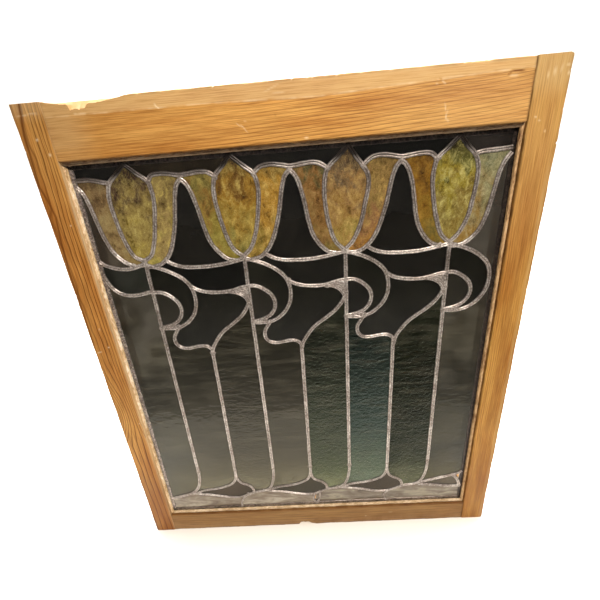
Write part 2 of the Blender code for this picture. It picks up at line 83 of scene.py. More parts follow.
def ease(t, start, end):
    """0 before start and 1 after end, with the smooth step 3t^2 - 2t^3 between them."""
    t = np.clip((t - start) / (end - start), 0, 1)
    return t * t * (3 - 2 * t)


def stack(x, y, z):
    """Three arrays as one array of points."""
    return np.stack(np.broadcast_arrays(x, y, z), -1)


def skin(rows, columns, start=0):
    """Faces of a closed tube: quads over a grid whose rows are rings, and a cap on each end."""
    row, column = np.meshgrid(np.arange(rows - 1), np.arange(columns), indexing="ij")
    after = (column + 1) % columns
    quads = [row * columns + column, row * columns + after,
             (row + 1) * columns + after, (row + 1) * columns + column]
    caps = [list(range(start, start + columns)),
            list(range(start + (rows - 1) * columns, start + rows * columns))]
    return (np.stack(quads, -1).reshape(-1, 4) + start).tolist(), caps


def mesh_piece(name, points, faces, material, node_slot, **attributes):
    """A smooth-shaded piece at the origin that rides on the frame.

    Each attribute is one number for a point, or three numbers, that the material reads.
    """
    mesh = bpy.data.meshes.new(name)
    mesh.from_pydata(np.asarray(points, float).reshape(-1, 3).tolist(), [], faces)
    solid = bmesh.new()
    solid.from_mesh(mesh)
    bmesh.ops.recalc_face_normals(solid, faces=solid.faces)
    solid.to_mesh(mesh)
    solid.free()
    for key, values in attributes.items():
        kind = "FLOAT" if values.size == len(mesh.vertices) else "FLOAT_VECTOR"
        attribute = mesh.attributes.new(key, kind, "POINT")
        slot = "value" if kind == "FLOAT" else "vector"
        attribute.data.foreach_set(slot, values.ravel().astype(np.float32))
    mesh.materials.append(material)
    piece = bpy.data.objects.new(name, mesh)
    bpy.context.scene.collection.objects.link(piece)
    mesh.shade_smooth()
    mesh.set_sharp_from_angle(angle=math.radians(38))
    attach(piece, "root")
    return piece


def new_material(name, **values):
    """An empty Principled material and its shader, with values for the shader's sockets."""
    made = bpy.data.materials.new(name)
    made.use_nodes = True
    shader = made.node_tree.nodes["Principled BSDF"]
    for key, value in values.items():
        shader.inputs[key.replace("_", " ")].default_value = value
    return made, shader


def connect(made, target, sockets):
    """Gives a node's sockets values, or links them. A node stands for its first output in use."""
    for key, value in sockets.items():
        if isinstance(value, bpy.types.Node):
            value = next(output for output in value.outputs if output.enabled)
        if isinstance(value, bpy.types.NodeSocket):
            made.node_tree.links.new(value, target.inputs[key])
        else:
            target.inputs[key].default_value = value


def node(made, kind, sockets=None, stops=(), **settings):
    """Adds a node, its kind without the word ShaderNode, with its settings and links.

    stops are a ramp's places with their hex colours.
    """
    added = made.node_tree.nodes.new("ShaderNode" + kind)
    for key, value in settings.items():
        setattr(added, key, value)
    connect(made, added, sockets or {})
    for number, (place, colour) in enumerate(stops):
        band = added.color_ramp.elements
        element = band[number] if number < len(band) else band.new(place)
        element.position = place
        element.color = linear(colour)
    return added


def along_grain(wide, long, grain):
    """Scales for a pattern so many millimetres wide, and so many long on the grain's axis."""
    return [every(long if axis == grain else wide) for axis in range(3)]


def finish(made, shader, colour, height, strength, distance):
    """Joins a material's colour to its shader, and its relief, so many metres high, as a bump."""
    bump = node(made, "Bump", {"Height": height, "Strength": strength, "Distance": distance})
    connect(made, shader, {"Base Color": colour, "Normal": bump})
    return made


def pine(name, grain, pith, ring, early, late, stain, faded_and_lit):
    """Slab-sawn pine under old varnish: pale earlywood with thin, hard, dark latewood lines.

    The lines are growth rings about the pith, a line along the grain (0 for X, 2 for Z) at
    (across, depth). They are ring apart. The varnish has yellowed, and worn off in places.
    """
    made, shader = new_material(name, IOR=1.5, Specular_IOR_Level=0.15)
    across = 2 if grain == 0 else 0
    place = node(made, "TexCoord").outputs["Object"]
    axes = node(made, "SeparateXYZ", {0: place}).outputs
    wear, figure = (
        node(made, "SeparateXYZ", {
            0: node(made, "Attribute", attribute_name=key).outputs["Vector"]}).outputs
        for key in ("wear", "figure"))

    # The rings wander by one or two over a hand's length, and the mesh says where they swerve
    stretched = node(made, "Mapping", {"Vector": place, "Scale": along_grain(60, 420, grain)})
    sway = node(made, "TexNoise", {"Vector": stretched, "Scale": 1.0, "Detail": 3.0,
                "Roughness": 0.5})
    side = node(made, "Math", {0: axes[across], 1: pith[0]}, operation="SUBTRACT")
    back = node(made, "Math", {0: axes[1], 1: pith[1]}, operation="SUBTRACT")
    flat = node(made, "CombineXYZ", {0: side, 1: back})
    radius = node(made, "VectorMath", {0: flat}, operation="LENGTH")
    swerved = node(made, "Math", {0: radius, 1: figure[1]}, operation="ADD")
    rings = node(made, "Math", {0: swerved, 1: 1 / ring}, operation="MULTIPLY")
    phase = node(made, "Math", {0: sway, 1: 3.4, 2: rings}, operation="MULTIPLY_ADD")
    year = node(made, "Math", {0: phase}, operation="FRACT")
    line = node(made, "ValToRGB", {"Fac": year},
                ((0.0, "#333333"), (0.12, "#000000"), (0.45, "#1a1a1a"), (0.78, "#7a7a7a"),
                 (0.88, "#ffffff"), (0.95, "#c8c8c8")))
    strength = node(made, "Math", {0: line, 1: figure[0]}, operation="MULTIPLY")
    lined = node(made, "Mix", {0: strength, 6: linear(early), 7: linear(late)}, data_type="RGBA")

    # Fibres are drawn a millimetre wide, coarser than real, so that they show
    fine = node(made, "Mapping", {"Vector": place, "Scale": along_grain(1.1, 45, grain)})
    fibre = node(made, "TexNoise", {"Vector": fine, "Scale": 1.0, "Detail": 5.0,
                 "Roughness": 0.65})
    streaks = node(made, "ValToRGB", {"Fac": fibre}, ((0.33, "#b9ad9e"), (0.6, "#ffffff")))
    fibrous = node(made, "Mix", {0: 0.85, 6: lined, 7: streaks}, data_type="RGBA",
                   blend_type="MULTIPLY")
    broad = node(made, "Mapping", {"Vector": place, "Scale": along_grain(26, 170, grain)})
    patches = node(made, "TexNoise", {"Vector": broad, "Scale": 1.0, "Detail": 6.0,
                   "Roughness": 0.6})
    amount = node(made, "MapRange", {0: patches, 1: 0.36, 2: 0.68, 4: 0.8})
    stained = node(made, "Mix", {0: amount, 6: fibrous, 7: linear(stain)}, data_type="RGBA",
                   blend_type="MULTIPLY")

    # Weathered places are dull and pale, and a lit rebate wall is painted pale the same way, as
    # painted light. Broken wood is raw. Hands and putty leave dark dirt, and dirt with painted
    # shade darkens the rebates.
    dull = node(made, "Math", {0: wear[2], 1: streaks}, operation="MULTIPLY")
    weathered_and_lit = node(made, "Mix", {0: dull, 6: stained, 7: linear(faded_and_lit)}, data_type="RGBA")
    dirt = node(made, "Math", {0: wear[1], 1: streaks}, operation="MULTIPLY")
    soiled = node(made, "Mix", {0: dirt, 6: weathered_and_lit, 7: linear("#4c2b10")}, data_type="RGBA")
    raw = node(made, "Mix", {0: wear[0], 6: soiled, 7: linear("#b48c58")}, data_type="RGBA")
    pale_mark = node(made, "Mix", {0: figure[2], 6: raw, 7: linear("#f3dfb8")}, data_type="RGBA")
    dark = node(made, "Math", {0: figure[2], 1: -1.0}, operation="MULTIPLY")
    marked = node(made, "Mix", {0: dark, 6: pale_mark, 7: linear("#6a3a14")}, data_type="RGBA")
    gloss = node(made, "MapRange", {0: fibre, 1: 0.3, 2: 0.7, 3: 0.42, 4: 0.62})

    # Latewood stands a little proud where the softer wood has worn down
    relief = node(made, "Math", {0: strength, 1: 0.7, 2: fibre}, operation="MULTIPLY_ADD")
    connect(made, shader, {"Roughness": gloss})
    return finish(made, shader, marked, relief, 0.35, 0.0005)


def eased(start, end, spacing, chamfer):
    """Places from start to end of one face of the section, stopping short by the chamfer."""
    length = abs(end - start)
    middle = np.linspace(chamfer, length - chamfer, max(int(length / spacing), 1) + 1)
    return start + np.sign(end - start) * middle


def section(width):
    """The rebated section as rows of (across, depth, 1 behind the rebate floor).

    It goes from the outer front arris over the front face, down the rebate, round the lip
    and the back, and up the outer edge.
    """
    arris = 0.0009
    front = eased(0, width, 0.0014, arris)
    side = eased(0, REBATE_DEPTH, 0.0018, arris)
    lip = eased(REBATE_DEPTH, THICKNESS, 0.005, arris)
    back = eased(width + LIP, 0, 0.006, arris)
    outer_back = eased(THICKNESS, REBATE_DEPTH, 0.004, arris)
    outer_front = eased(REBATE_DEPTH, 0, 0.0014, arris)
    return np.concatenate([
        stack(front, 0, 0), stack(width, side, 0),
        [[width, REBATE_DEPTH, 0.0], [width + LIP, REBATE_DEPTH, 1.0]],
        stack(width + LIP, lip, 1), stack(back, THICKNESS, 1), stack(0, outer_back, 1),
        stack(0, outer_front, 0)])


# Dents and scratches, in millimetres from the sash's top left corner: x, y, half the length,
# half the width, turn in degrees, and how much paler (or darker, below zero) the mark is
MARKS = (
    (599, 13.2, 8.0, 1.1, 4, -1.6), (595, 17.8, 5.0, 1.0, 0, 0.6), (590, 15.5, 2.5, 0.9, -30, -1.1),
    (512, 14.5, 2.0, 0.8, 20, -0.7), (516, 18.0, 3.0, 0.8, 35, 0.6), (508, 18.5, 1.6, 0.7, 0, 0.5),
    (520, 43.0, 4.0, 0.7, 80, 0.6), (522, 52.0, 5.0, 0.7, 100, 0.7), (524, 57.0, 2.0, 1.0, 60, 0.5),
    (273, 43.0, 4.0, 0.6, 35, 0.6), (279, 47.0, 6.0, 0.6, 52, 0.6), (281, 39.0, 2.0, 0.8, 0, 0.4),
    (86, 16.6, 5.0, 0.8, 0, 1.0), (78, 15.6, 2.0, 0.7, 0, 0.8), (354, 63.0, 2.2, 1.0, 0, 0.9),
    (178, 16.5, 3.0, 0.8, 40, 0.8), (176, 13.5, 1.5, 0.8, 70, 0.6), (324, 13.0, 7.0, 0.7, 0, 0.4),
    (316, 8.0, 9.0, 0.7, -20, 0.4), (420, 22.0, 5.0, 0.6, 2, -0.4), (318, 36.0, 1.2, 1.0, 0, -0.6),
    (21, 39.6, 1.6, 1.2, 0, 0.9), (31, 57.3, 1.8, 1.2, 60, 0.9), (27.9, 144.4, 1.0, 1.0, 0, 0.9),
    (24.8, 332.5, 1.2, 1.0, 0, 1.0), (7.5, 340.3, 4.0, 0.8, -10, 0.8), (19.5, 300.6, 1.0, 1.6, 0, 0.5),
    (34, 485.0, 1.2, 0.8, 0, 0.8), (12, 12.7, 7.0, 0.9, -3, 0.6), (26, 11.6, 6.0, 0.9, 3, 0.5),
    (641, 17.0, 1.6, 4.0, 0, 0.5), (634, 20.0, 1.2, 3.5, 0, 0.4), (648, 15.0, 1.2, 4.0, 8, 0.4),
    (628, 62.0, 1.4, 0.9, 0, 0.7), (633, 66.0, 1.4, 0.9, 30, 0.6), (642, 78.0, 1.0, 1.4, 0, 0.5),
    (655, 12.0, 2.4, 0.9, 0, 0.7), (657, 20.0, 1.0, 2.0, 0, 0.8), (640, 210.0, 0.9, 6.0, 0, -0.3),
    (331, 748.0, 3.0, 1.0, 0, -0.9), (326, 752.0, 3.0, 0.8, 0, -0.6), (598, 708.0, 3.0, 0.6, 80, 0.4),
    (479, 737.0, 4.0, 0.6, 0, 0.4), (430, 745.0, 1.6, 0.8, 0, 0.7), (625, 735.0, 2.0, 0.8, 50, 0.5),
)
STRONG_LINE_X = (13.5, 6.5, 5.3, 3.6, 8.0, 11.6, 7.0, 3.5, 3.8, 2.5)
STRONG_LINE_Y = (0.0, 34.5, 63.4, 94.0, 110.0, 132.0, 167.0, 220.0, 270.0, 330.0)


def left_character(x, y):
    """Growth lines 3 to 8 mm apart, crowding to the right. Below the middle they sweep in from
    the left edge in a flame, x growing by a smooth step of y."""
    swept = 27 * ease(y, 360, 485) * np.clip(1 - x / 38, -1, 1)
    swept = swept + 2.5 * waver(y, 260, 3) * np.clip(1 - x / 40, 0, 1)
    beyond = x - swept - 5
    swerve = np.where(beyond > 0, 0.012 * beyond ** 2 - 0.38 * beyond, 0.1 * beyond) - swept
    swerve = swerve + (-0.35 * x - swerve) * ease(y, 440, 540)
    shows = 0.55 + 0.45 * np.maximum(ease(x, 8, 16), ease(y, 360, 390))
    worn = 0.4 * ease(-y, -24, -2) + 0.6 * ease(x, 34.5, 38) * ease(y, 90, 130)
    strong = np.exp(-((x - np.interp(y, STRONG_LINE_Y, STRONG_LINE_X)) / 1.3) ** 2)
    darker = -strong * (1 - ease(y, 300, 350)) - 0.5 * ease(y, 540, 680)
    return shows, swerve, worn, darker


def right_character(x, y):
    """Fine even lines near the light, a plain darker band in the middle, dull towards the top."""
    shows = 0.55 + 0.3 * waver(x, 17, 8) - 0.35 * ease(y, 560, 640)
    plain = np.exp(-((x - 641 - 3 * waver(y, 300, 4)) / 4) ** 2)
    shows = np.clip(shows * (1 - 0.6 * plain), 0.05, 1)
    worn = np.clip(0.85 * ease(-y, -50, -8) + 0.35 * ease(-y, -330, -60)
                   + 0.5 * np.exp(-((x - 655) / 2.2) ** 2) * ease(y, 80, 160), 0, 0.9)
    darker = -0.22 * plain * ease(y, 60, 200) - 0.4 * ease(y, 560, 680)
    return shows, 1.2 * waver(y, 420, 5), worn, darker


def top_character(x, y):
    """A dull, worn band along the upper edge; below it the lines climb to the right."""
    edge = np.interp(x, (40, 230, 372, 545, 620), (17, 17.5, 20.5, 13, 11))
    band = 1 - ease(y, edge - 2.0, edge + 1.5)
    worn = np.maximum(0.8 * band, 0.62 * ease(-x, -105, -60) * (1 - 0.5 * ease(y, 45, 60)))
    worn = worn + 0.35 * ease(x, 380, 560)
    shows = 0.2 + 0.8 * ease(x, 170, 430) + 0.4 * ease(y, 40, 52)
    shows = np.clip(shows, 0, 1) * (1 - 0.85 * band)
    swerve = 0.012 * x + 0.0001 * np.maximum(x - 180, 0) ** 2
    ridge = 0.5 * np.exp(-((y - edge) / 0.9) ** 2) * (0.5 + 0.5 * waver(x, 60, 6))
    darker = -0.14 * (1 - ease(x, 150, 330)) * (1 - band)
    return shows, swerve, np.clip(worn, 0, 0.9), np.maximum(ridge, 0) + darker


def bottom_character(x, y):
    """Plain brown wood, faintly banded, darker under the bead and paler at its lower arris."""
    shows = 0.45 + 0.2 * waver(x, 230, 7)
    worn = 0.35 * ease(y, 738, 760) * (0.6 + 0.4 * waver(x, 50, 9))
    return shows, 0.9 * waver(x, 500, 8), worn, -0.22 * ease(-y, -727, -721)


def timber(name, width, ends, place, material, character, missing=None, nibbled=0.0, round_ends=(),
           rebate_dirt_and_shade=0.8, painted_wall_light=0.0, joints=(0.0, 0.0), seed=1):
    """A length of the section carried along the grain.

    ends is (start, end) of the front part, then of the part behind the rebate floor. missing
    gives the height of wood split from the outer front arris at a place along the grain,
    nibbled is the size of small losses along it, and round_ends wears outer end corners to
    quarter circles. rebate_dirt_and_shade is the dirt and painted shade along the light and down its
    rebate wall, painted_wall_light the painted light that makes that wall pale, and joints is the dirt
    in the joint at either end.
    """
    ring = section(width)
    behind = ring[:, 2]
    t = np.linspace(0, 1, int((ends[1] - ends[0]) / STATION))[:, None]
    start = ends[0] * (1 - behind) + ends[2] * behind
    end = ends[1] * (1 - behind) + ends[3] * behind
    along = start + (end - start) * t
    across = np.repeat(ring[None, :, 0], len(t), 0)
    depth = np.repeat(ring[None, :, 1], len(t), 0)
    in_front = behind[None, :] < 0.5

    # Planing and wear leave every face a little uneven and the arrises soft
    near = np.exp(-((across / 0.0025) ** 2 + (depth / 0.0025) ** 2)) * in_front
    near_light = np.exp(-(((across - width) / 0.002) ** 2 + (depth / 0.002) ** 2)) * in_front
    bites = np.clip(waver(along, 0.031, seed + 6) + waver(along, 0.0077, seed + 7) - 0.9, 0, 1)
    lost = near * (0.0002 + 0.00025 * waver(along, 0.09, seed) + nibbled * bites)
    across = across + lost - near_light * 0.0002 * (1 + waver(along, 0.04, seed + 8))
    depth = depth + lost + near_light * 0.0002 * (1 + waver(along, 0.05, seed + 9))
    depth = depth + (depth < 0.002) * 0.0001 * (1 + waver(along * 0.7 + across * 3, 0.12, seed))

    # A break runs out to nothing some way behind the face, and splinters along the grain
    broken = near * np.clip(nibbled * bites / 0.0008, 0, 1)
    if missing is not None:
        height, back = missing(along[:, :1])
        rough = 1 + 0.10 * waver(along, 0.011, seed + 3) + 0.05 * waver(depth + along, 0.004, seed)
        cut = height * rough * np.clip(1 - depth / back, 0, 1)
        inside = (across < cut) & in_front
        broken = np.where(inside, 1.0, broken)
        across = np.where(inside, cut, across)
    for radius, edge, sign in round_ends:
        reach = np.clip((sign * (along - edge) + radius) / radius, 0, 1)
        dip = radius * (1 - np.sqrt(1 - reach ** 2)) * (1 + 0.08 * waver(depth, 0.013, seed + 4))
        across = np.maximum(across, np.minimum(dip, width * 0.8))
    points = place(along, across, depth)

    x = 1000 * (points[..., 0] + SASH_WIDTH / 2)
    y = 1000 * (SASH_HEIGHT - points[..., 2])
    shows, swerve, worn, tone = (np.broadcast_to(part, x.shape) for part in character(x, y))
    on_face = (depth < 0.003) & in_front
    marks = tone * on_face
    for mark_x, mark_y, half_length, half_width, degrees, amount in MARKS:
        turn = math.radians(degrees)
        u = (x - mark_x) * math.cos(turn) + (y - mark_y) * math.sin(turn)
        v = (y - mark_y) * math.cos(turn) - (x - mark_x) * math.sin(turn)
        print_of = on_face * np.exp(-(u / half_length) ** 4 - (v / half_width) ** 2)
        marks = marks + 0.7 * amount * print_of
        points[..., 1] += 0.0003 * print_of
    # Along the light, dirt and painted shade darken the arris and the rebate wall; where the wall is
    # lit, painted light makes it pale instead
    wall = (across > width - 0.0006) & (depth < REBATE_DEPTH) & in_front
    rebate = np.exp(-((across - width) / 0.001) ** 2) * rebate_dirt_and_shade
    closing = (joints[0] * np.exp(-((along - start) / 0.0012) ** 2)
               + joints[1] * np.exp(-((along - end) / 0.0012) ** 2))
    grime_and_shade = rebate * (0.7 + 0.4 * waver(along, 0.05, seed + 5)) + closing
    grime_and_shade = np.clip(grime_and_shade + 0.35 * near * (1 + waver(along, 0.07, seed + 2)), 0, 1)
    wear = stack(broken, grime_and_shade * (1 - broken), np.maximum(worn * on_face, painted_wall_light * wall))
    figure = stack(shows, swerve / 1000, np.clip(marks, -1, 1))

    # Each end is closed by the front part, the shoulder and the part behind it
    rows, columns = along.shape
    first = int(np.argmax(behind > 0.5))
    last = columns - 1 - int(np.argmax(behind[::-1] > 0.5))
    caps = []
    for row in (0, (rows - 1) * columns):
        caps.append([row + i for i in (*range(last + 1, columns), *range(first))])
        caps.append([row + i for i in (last + 1, first - 1, first, last)])
        caps.append([row + i for i in range(first, last + 1)])
    return mesh_piece(name, points, skin(rows, columns)[0] + caps, material, "pine",
                      wear=wear, figure=figure)


def top_break(x):
    """Height and depth of the wood split off the top rail's front arris."""
    places = (0.040, 0.046, 0.060, 0.070, 0.0725, 0.0915, 0.094, 0.110, 0.132, 0.149)
    heights = (0.0, 0.0020, 0.0045, 0.0055, 0.0112, 0.0112, 0.0066, 0.0060, 0.0030, 0.0)
    return np.interp(x + SASH_WIDTH / 2, places, heights), 0.012


def bottom_break(x):
    """Height and depth of the notch in the bottom rail's front arris."""
    places = (0.295, 0.299, 0.315, 0.320, 0.333)
    return np.interp(x + SASH_WIDTH / 2, places, (0.0, 0.0078, 0.0080, 0.0040, 0.0)), 0.010


left_stile = timber(
    "left_stile_pine", LEFT_STILE, (0, SASH_HEIGHT, 0, SASH_HEIGHT),
    lambda s, a, d: stack(-SASH_WIDTH / 2 + a, FRONT + d, s),
    pine("pine_left_stile", 2, (-0.390, 0.050), 0.0044, "#d8a156", "#64310c", "#c9a47a", "#dcbd90"),
    # The left rebate wall is lit: little painted shade on it, and painted light makes it pale
    left_character, nibbled=0.0008, rebate_dirt_and_shade=0.1, painted_wall_light=1.0,
    round_ends=((0.003, 0, -1),), seed=11)
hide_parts("left_stile")

right_stile = timber(
    "right_stile_pine", RIGHT_STILE, (0, SASH_HEIGHT, 0, SASH_HEIGHT),
    lambda s, a, d: stack(SASH_WIDTH / 2 - a, FRONT + d, s),
    pine("pine_right_stile", 2, (0.170, 0.060), 0.0026, "#d09c4e", "#6f4414", "#c9a67c", "#c8a56e"),
    right_character, nibbled=0.0010,
    round_ends=((0.0045, SASH_HEIGHT, 1), (0.0035, 0, -1)), seed=23)
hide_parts("right_stile")

rail_ends = (-SASH_WIDTH / 2 + LEFT_STILE + JOINT, SASH_WIDTH / 2 - RIGHT_STILE - OPEN_JOINT)
behind_ends = (rail_ends[0] + LIP, rail_ends[1] - LIP)
top_rail = timber(
    "top_rail_pine", TOP_RAIL, (*rail_ends, *behind_ends),
    lambda s, a, d: stack(s, FRONT + d, SASH_HEIGHT - a),
    pine("pine_top_rail", 0, (1.250, 0.120), 0.0037, "#dea75a", "#97642a", "#d0ae82", "#cda874"),
    top_character, missing=top_break, nibbled=0.0012, joints=(0.2, 0.8), seed=37)
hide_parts("top_rail")

bottom_rail = timber(
    "bottom_rail_pine", BOTTOM_RAIL, (*rail_ends, *behind_ends),
    lambda s, a, d: stack(s, FRONT + d, a),
    pine("pine_bottom_rail", 0, (-0.350, 0.080), 0.0060, "#a17b4b", "#644322", "#cfba9e", "#b4926b"),
    bottom_character, missing=bottom_break, nibbled=0.0006, joints=(0.15, 0.7), seed=41)
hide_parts("bottom_rail")

# The glazing beads: four thin strips of pale, unvarnished pine, mitred at the corners and
# pinned into the rebate over the panel's edge. Their sawn faces are rough, and the left one
# has lost its upper end.
BEAD = 0.0044
BEAD_RECESS = 0.0045
BEAD_DEPTH = 0.0042
BROKEN_END = 0.004
sight_left = -SASH_WIDTH / 2 + LEFT_STILE + BEAD
sight_right = SASH_WIDTH / 2 - RIGHT_STILE - BEAD
sight_top = SASH_HEIGHT - TOP_RAIL - BEAD
sight_bottom = BOTTOM_RAIL + BEAD


def rough_pine(name, grain, body, shade, fuzz):
    """Sawn pine that was never varnished: pale, matt and furry, with grey dirt in its saw marks."""
    made, shader = new_material(name, IOR=1.5, Roughness=0.85)
    place = node(made, "TexCoord").outputs["Object"]
    stretched = node(made, "Mapping", {"Vector": place, "Scale": along_grain(1.4, 7, grain)})
    fur = node(made, "TexNoise", {"Vector": stretched, "Scale": 1.0, "Detail": 5.0,
               "Roughness": 0.7})
    blotch = node(made, "TexNoise", {"Vector": place, "Scale": every(22), "Detail": 4.0})
    mixed = node(made, "Math", {0: blotch, 1: 0.55, 2: fur}, operation="MULTIPLY_ADD")
    colour = node(made, "ValToRGB", {"Fac": mixed}, ((0.60, shade), (0.78, body), (0.95, fuzz)))
    return finish(made, shader, colour, fur, 0.7, 0.0008)


def bead(name, start, end, outward, material, roughness, seed):
    """A bead's section, a rectangle with a rounded sight edge, carried from mitre to mitre.

    start and end are the corners of the sight line, and outward points into the rebate.
    """
    start, end, outward = np.array(start), np.array(end), np.array(outward)
    turn = np.linspace(-0.5, 0.5, 5) * np.pi
    nose = 0.0011
    wall = BEAD - 0.0002
    out = np.concatenate([nose - nose * np.cos(turn), [0.0018, 0.0026, 0.0034, wall, wall, wall]])
    deep = np.concatenate([np.linspace(BEAD_DEPTH, 0.0, 5) + 0.0002 * np.cos(turn),
                           [0.0, 0.0, 0.0, 0.0001, 0.002, BEAD_DEPTH]])
    length = np.linalg.norm(end - start)
    t = np.linspace(0, 1, int(length / 0.0022))[:, None]
    saw = roughness * (waver(t * length + out * 9, 0.013, seed) + waver(t * length, 0.005, seed + 1))
    reach = t * (length + 2 * out) - out
    across = out + saw * (out < 0.003)
    spot = start + (end - start) / length * reach[..., None] + outward * across[..., None]
    lifted = deep - saw * (deep < 0.003) + 0.0003 * waver(t * length, 0.09, seed + 2)
    points = stack(spot[..., 0], FRONT + BEAD_RECESS + lifted, spot[..., 1])
    quads, caps = skin(*points.shape[:2])
    return mesh_piece(name, points, quads + caps, material, "pale_bead")


# The beads are one wood, each toned by the light on it: the left paler as painted light, the right
# darker and the top darkest as painted shade under the top rail
left_bead = bead("left_bead", (sight_left, sight_bottom), (sight_left, sight_top - BROKEN_END),
                 (-1, 0), rough_pine("rough_pine_left_lit", 2, "#e9c99c", "#a9804f", "#fff4de"),
                 0.00034, 51)
right_bead = bead("right_bead", (sight_right, sight_bottom), (sight_right, sight_top), (1, 0),
                  rough_pine("rough_pine_right_shaded", 2, "#bf9767", "#75502f", "#d8b487"), 0.00016, 52)
top_bead = bead("top_bead", (sight_left, sight_top), (sight_right, sight_top), (0, 1),
                rough_pine("rough_pine_top_shaded", 0, "#94785a", "#67503a", "#a98f72"), 0.00010, 53)
bottom_bead = bead("bottom_bead", (sight_left, sight_bottom), (sight_right, sight_bottom), (0, -1),
                   rough_pine("rough_pine_bottom", 0, "#ccae86", "#977450", "#ead4b4"), 0.00015, 54)
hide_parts("glazing_beads")

# The leadwork: hand-bent cames of soft milled lead, heart-shaped in section, with a seam
# between the two halves of the face that has filled with dirt. They were cut to length and
# laid on a cartoon, the full-size drawing: millimetres, x right and y down from the light's
# top left corner. Where two meet they are soldered.
CAME = 6.2
THIN_CAME = 4.8
LENS_CAME = 5.4
LOW_CAME = 5.0
FOOT_CAME = 5.6
BASE_CAME = 4.0
BORDER = 5.2
CROWN = 1.55
GLASS = 3.0
PANEL_MIDDLE = FRONT + 0.009 + 0.0025

# Stem x, then relative to it: tip x, both shoulders, both flanks' x, and the middle petal's foot
TULIPS = (
    (68.6, 3.5, (-21.5, 24.5), (30.5, 26.5), -27.1, 33.0, 131.0),
    (212.7, -1.8, (-24.5, 26.5), (26.5, 26.5), -29.0, 30.9, 134.5),
    (357.3, 5.5, (-20.8, 27.5), (24.5, 28.0), -26.5, 32.1, 136.0),
    (502.7, 0.0, (-26.0, 27.0), (22.5, 27.0), -30.1, 27.5, 136.0),
)
SPLIT = 281.5
STEM_END = 545.0
PEAK = (73.5, 26.3)
LEFT_PETAL = ((-66.8, 29.3), (-63.0, 34.5), (-59.8, 42.0), (-57.2, 50.5), (-53.3, 70.3),
              (-50.0, 90.3), (-45.4, 108.0), (-40.6, 118.0), (-35.6, 125.3), (-29.0, 132.6),
              (-22.5, 137.0), (-14.0, 139.5))
RIGHT_PETAL = ((68.0, 31.5), (64.6, 39.0), (61.8, 49.0), (59.8, 59.0), (55.5, 78.5),
               (52.6, 89.0), (49.6, 98.5), (46.4, 107.5), (42.3, 116.5), (37.3, 124.5),
               (31.5, 131.0), (23.0, 137.0), (13.0, 140.0), (2.0, 139.5))
OUTER_LEAF = ((0.0, 137.0), (8.0, 140.0), (20.0, 144.1), (34.0, 150.8), (46.0, 158.6),
              (55.0, 167.8), (60.0, 177.8), (62.0, 190.8), (60.3, 206.8), (54.5, 219.3),
              (45.5, 229.3), (34.0, 236.8), (22.0, 239.8), (10.0, 239.8), (0.0, 238.8))
INNER_LEAF = ((0.0, 179.3), (11.0, 179.8), (20.0, 183.8), (28.5, 190.3), (34.5, 197.8),
              (37.3, 207.8), (35.5, 218.3), (28.5, 227.8), (20.0, 232.8), (10.0, 235.8),
              (0.0, 237.0))
STEM_FOOT = ((-34.0, 603.4), (-24.0, 602.0), (-16.0, 598.8), (-10.0, 593.3), (-5.8, 584.8),
             (-2.8, 574.8), (-0.5, 560.0), (0.0, STEM_END))
WAVE = (((36.0, 19.1), (45.0, 17.3), (55.0, 17.7), (65.0, 19.7), (73.0, 21.2)),
        ((-63.0, 20.8), (-52.0, 19.5), (-41.0, 19.1), (-33.0, 20.6)))
UPPER_SAG = (((30.0, 132.0), (38.0, 137.6), (46.0, 141.2), (58.0, 144.0), (72.0, 145.2),
              (88.0, 145.4)), ((-44.0, 144.8), (-30.0, 143.4), (-16.0, 140.8), (0.0, 138.0)))
LOWER_SAG = (((60.0, 174.6), (66.0, 178.6), (73.0, 181.7), (82.0, 184.0), (93.0, 185.6)),
             ((-40.0, 186.0), (-29.0, 185.2), (-19.0, 183.0), (-9.0, 180.6), (0.0, 179.6)))
SWOOP = ((27.0, 238.5), (21.5, 246.8), (17.0, 254.3), (16.0, 261.8), (18.0, 268.8),
         (23.5, 274.2), (32.0, 276.3), (44.0, 275.2), (56.0, 273.8), (66.0, 275.6),
         (72.5, SPLIT))
SWAN_NECK = ((0.0, 201.0), (-2.6, 206.0), (-5.4, 211.8), (-10.0, 218.8), (-18.0, 227.9),
             (-27.5, 235.6), (-40.5, 244.9), (-51.0, 253.3), (-59.5, 263.2), (-65.3, 271.3),
             (-69.6, 279.0), (-71.7, SPLIT + 6.5))
FILLET = ((-28.0, 186.6), (-17.0, 189.8), (-9.5, 194.3), (-4.6, 200.8), (-2.5, 208.0))
FILLET_SOLDER = ((-22.0, 185.8), (-13.0, 186.8), (-6.0, 191.0), (-3.0, 198.0))
CORNER_SOLDER = ((-15.0, 184.4), (-8.0, 184.8), (-4.6, 188.4), (-2.6, 193.0))
LEAF_SOLDER = ((24.0, 236.4), (12.0, 238.4), (1.0, 238.2))
SIDE_SHOOT = ((72.4, SPLIT), (71.8, 400.0), (70.6, STEM_END))
LENS_LEFT = ((-12.0, 601.3), (-5.0, 596.8), (4.0, 593.8), (15.0, 592.1), (27.0, 590.8),
             (38.0, 588.6), (49.0, 585.1), (58.0, 581.0), (64.5, 575.3), (68.5, 566.8),
             (70.3, 556.0), (70.6, STEM_END))
LENS_RIGHT = ((70.6, STEM_END), (70.7, 556.0), (72.0, 566.0), (74.8, 573.8), (81.5, 580.3),
              (90.0, 584.6), (97.0, 590.8), (100.0, 597.8), (100.8, 604.8))
LENS_BOTTOM = ((-23.0, 601.2), (-13.0, 602.5), (-2.0, 604.6), (9.0, 606.0), (22.0, 608.8),
               (36.0, 612.4), (50.0, 615.4), (64.0, 616.8), (75.0, 615.5), (84.0, 612.0),
               (92.0, 608.4), (101.0, 605.1))
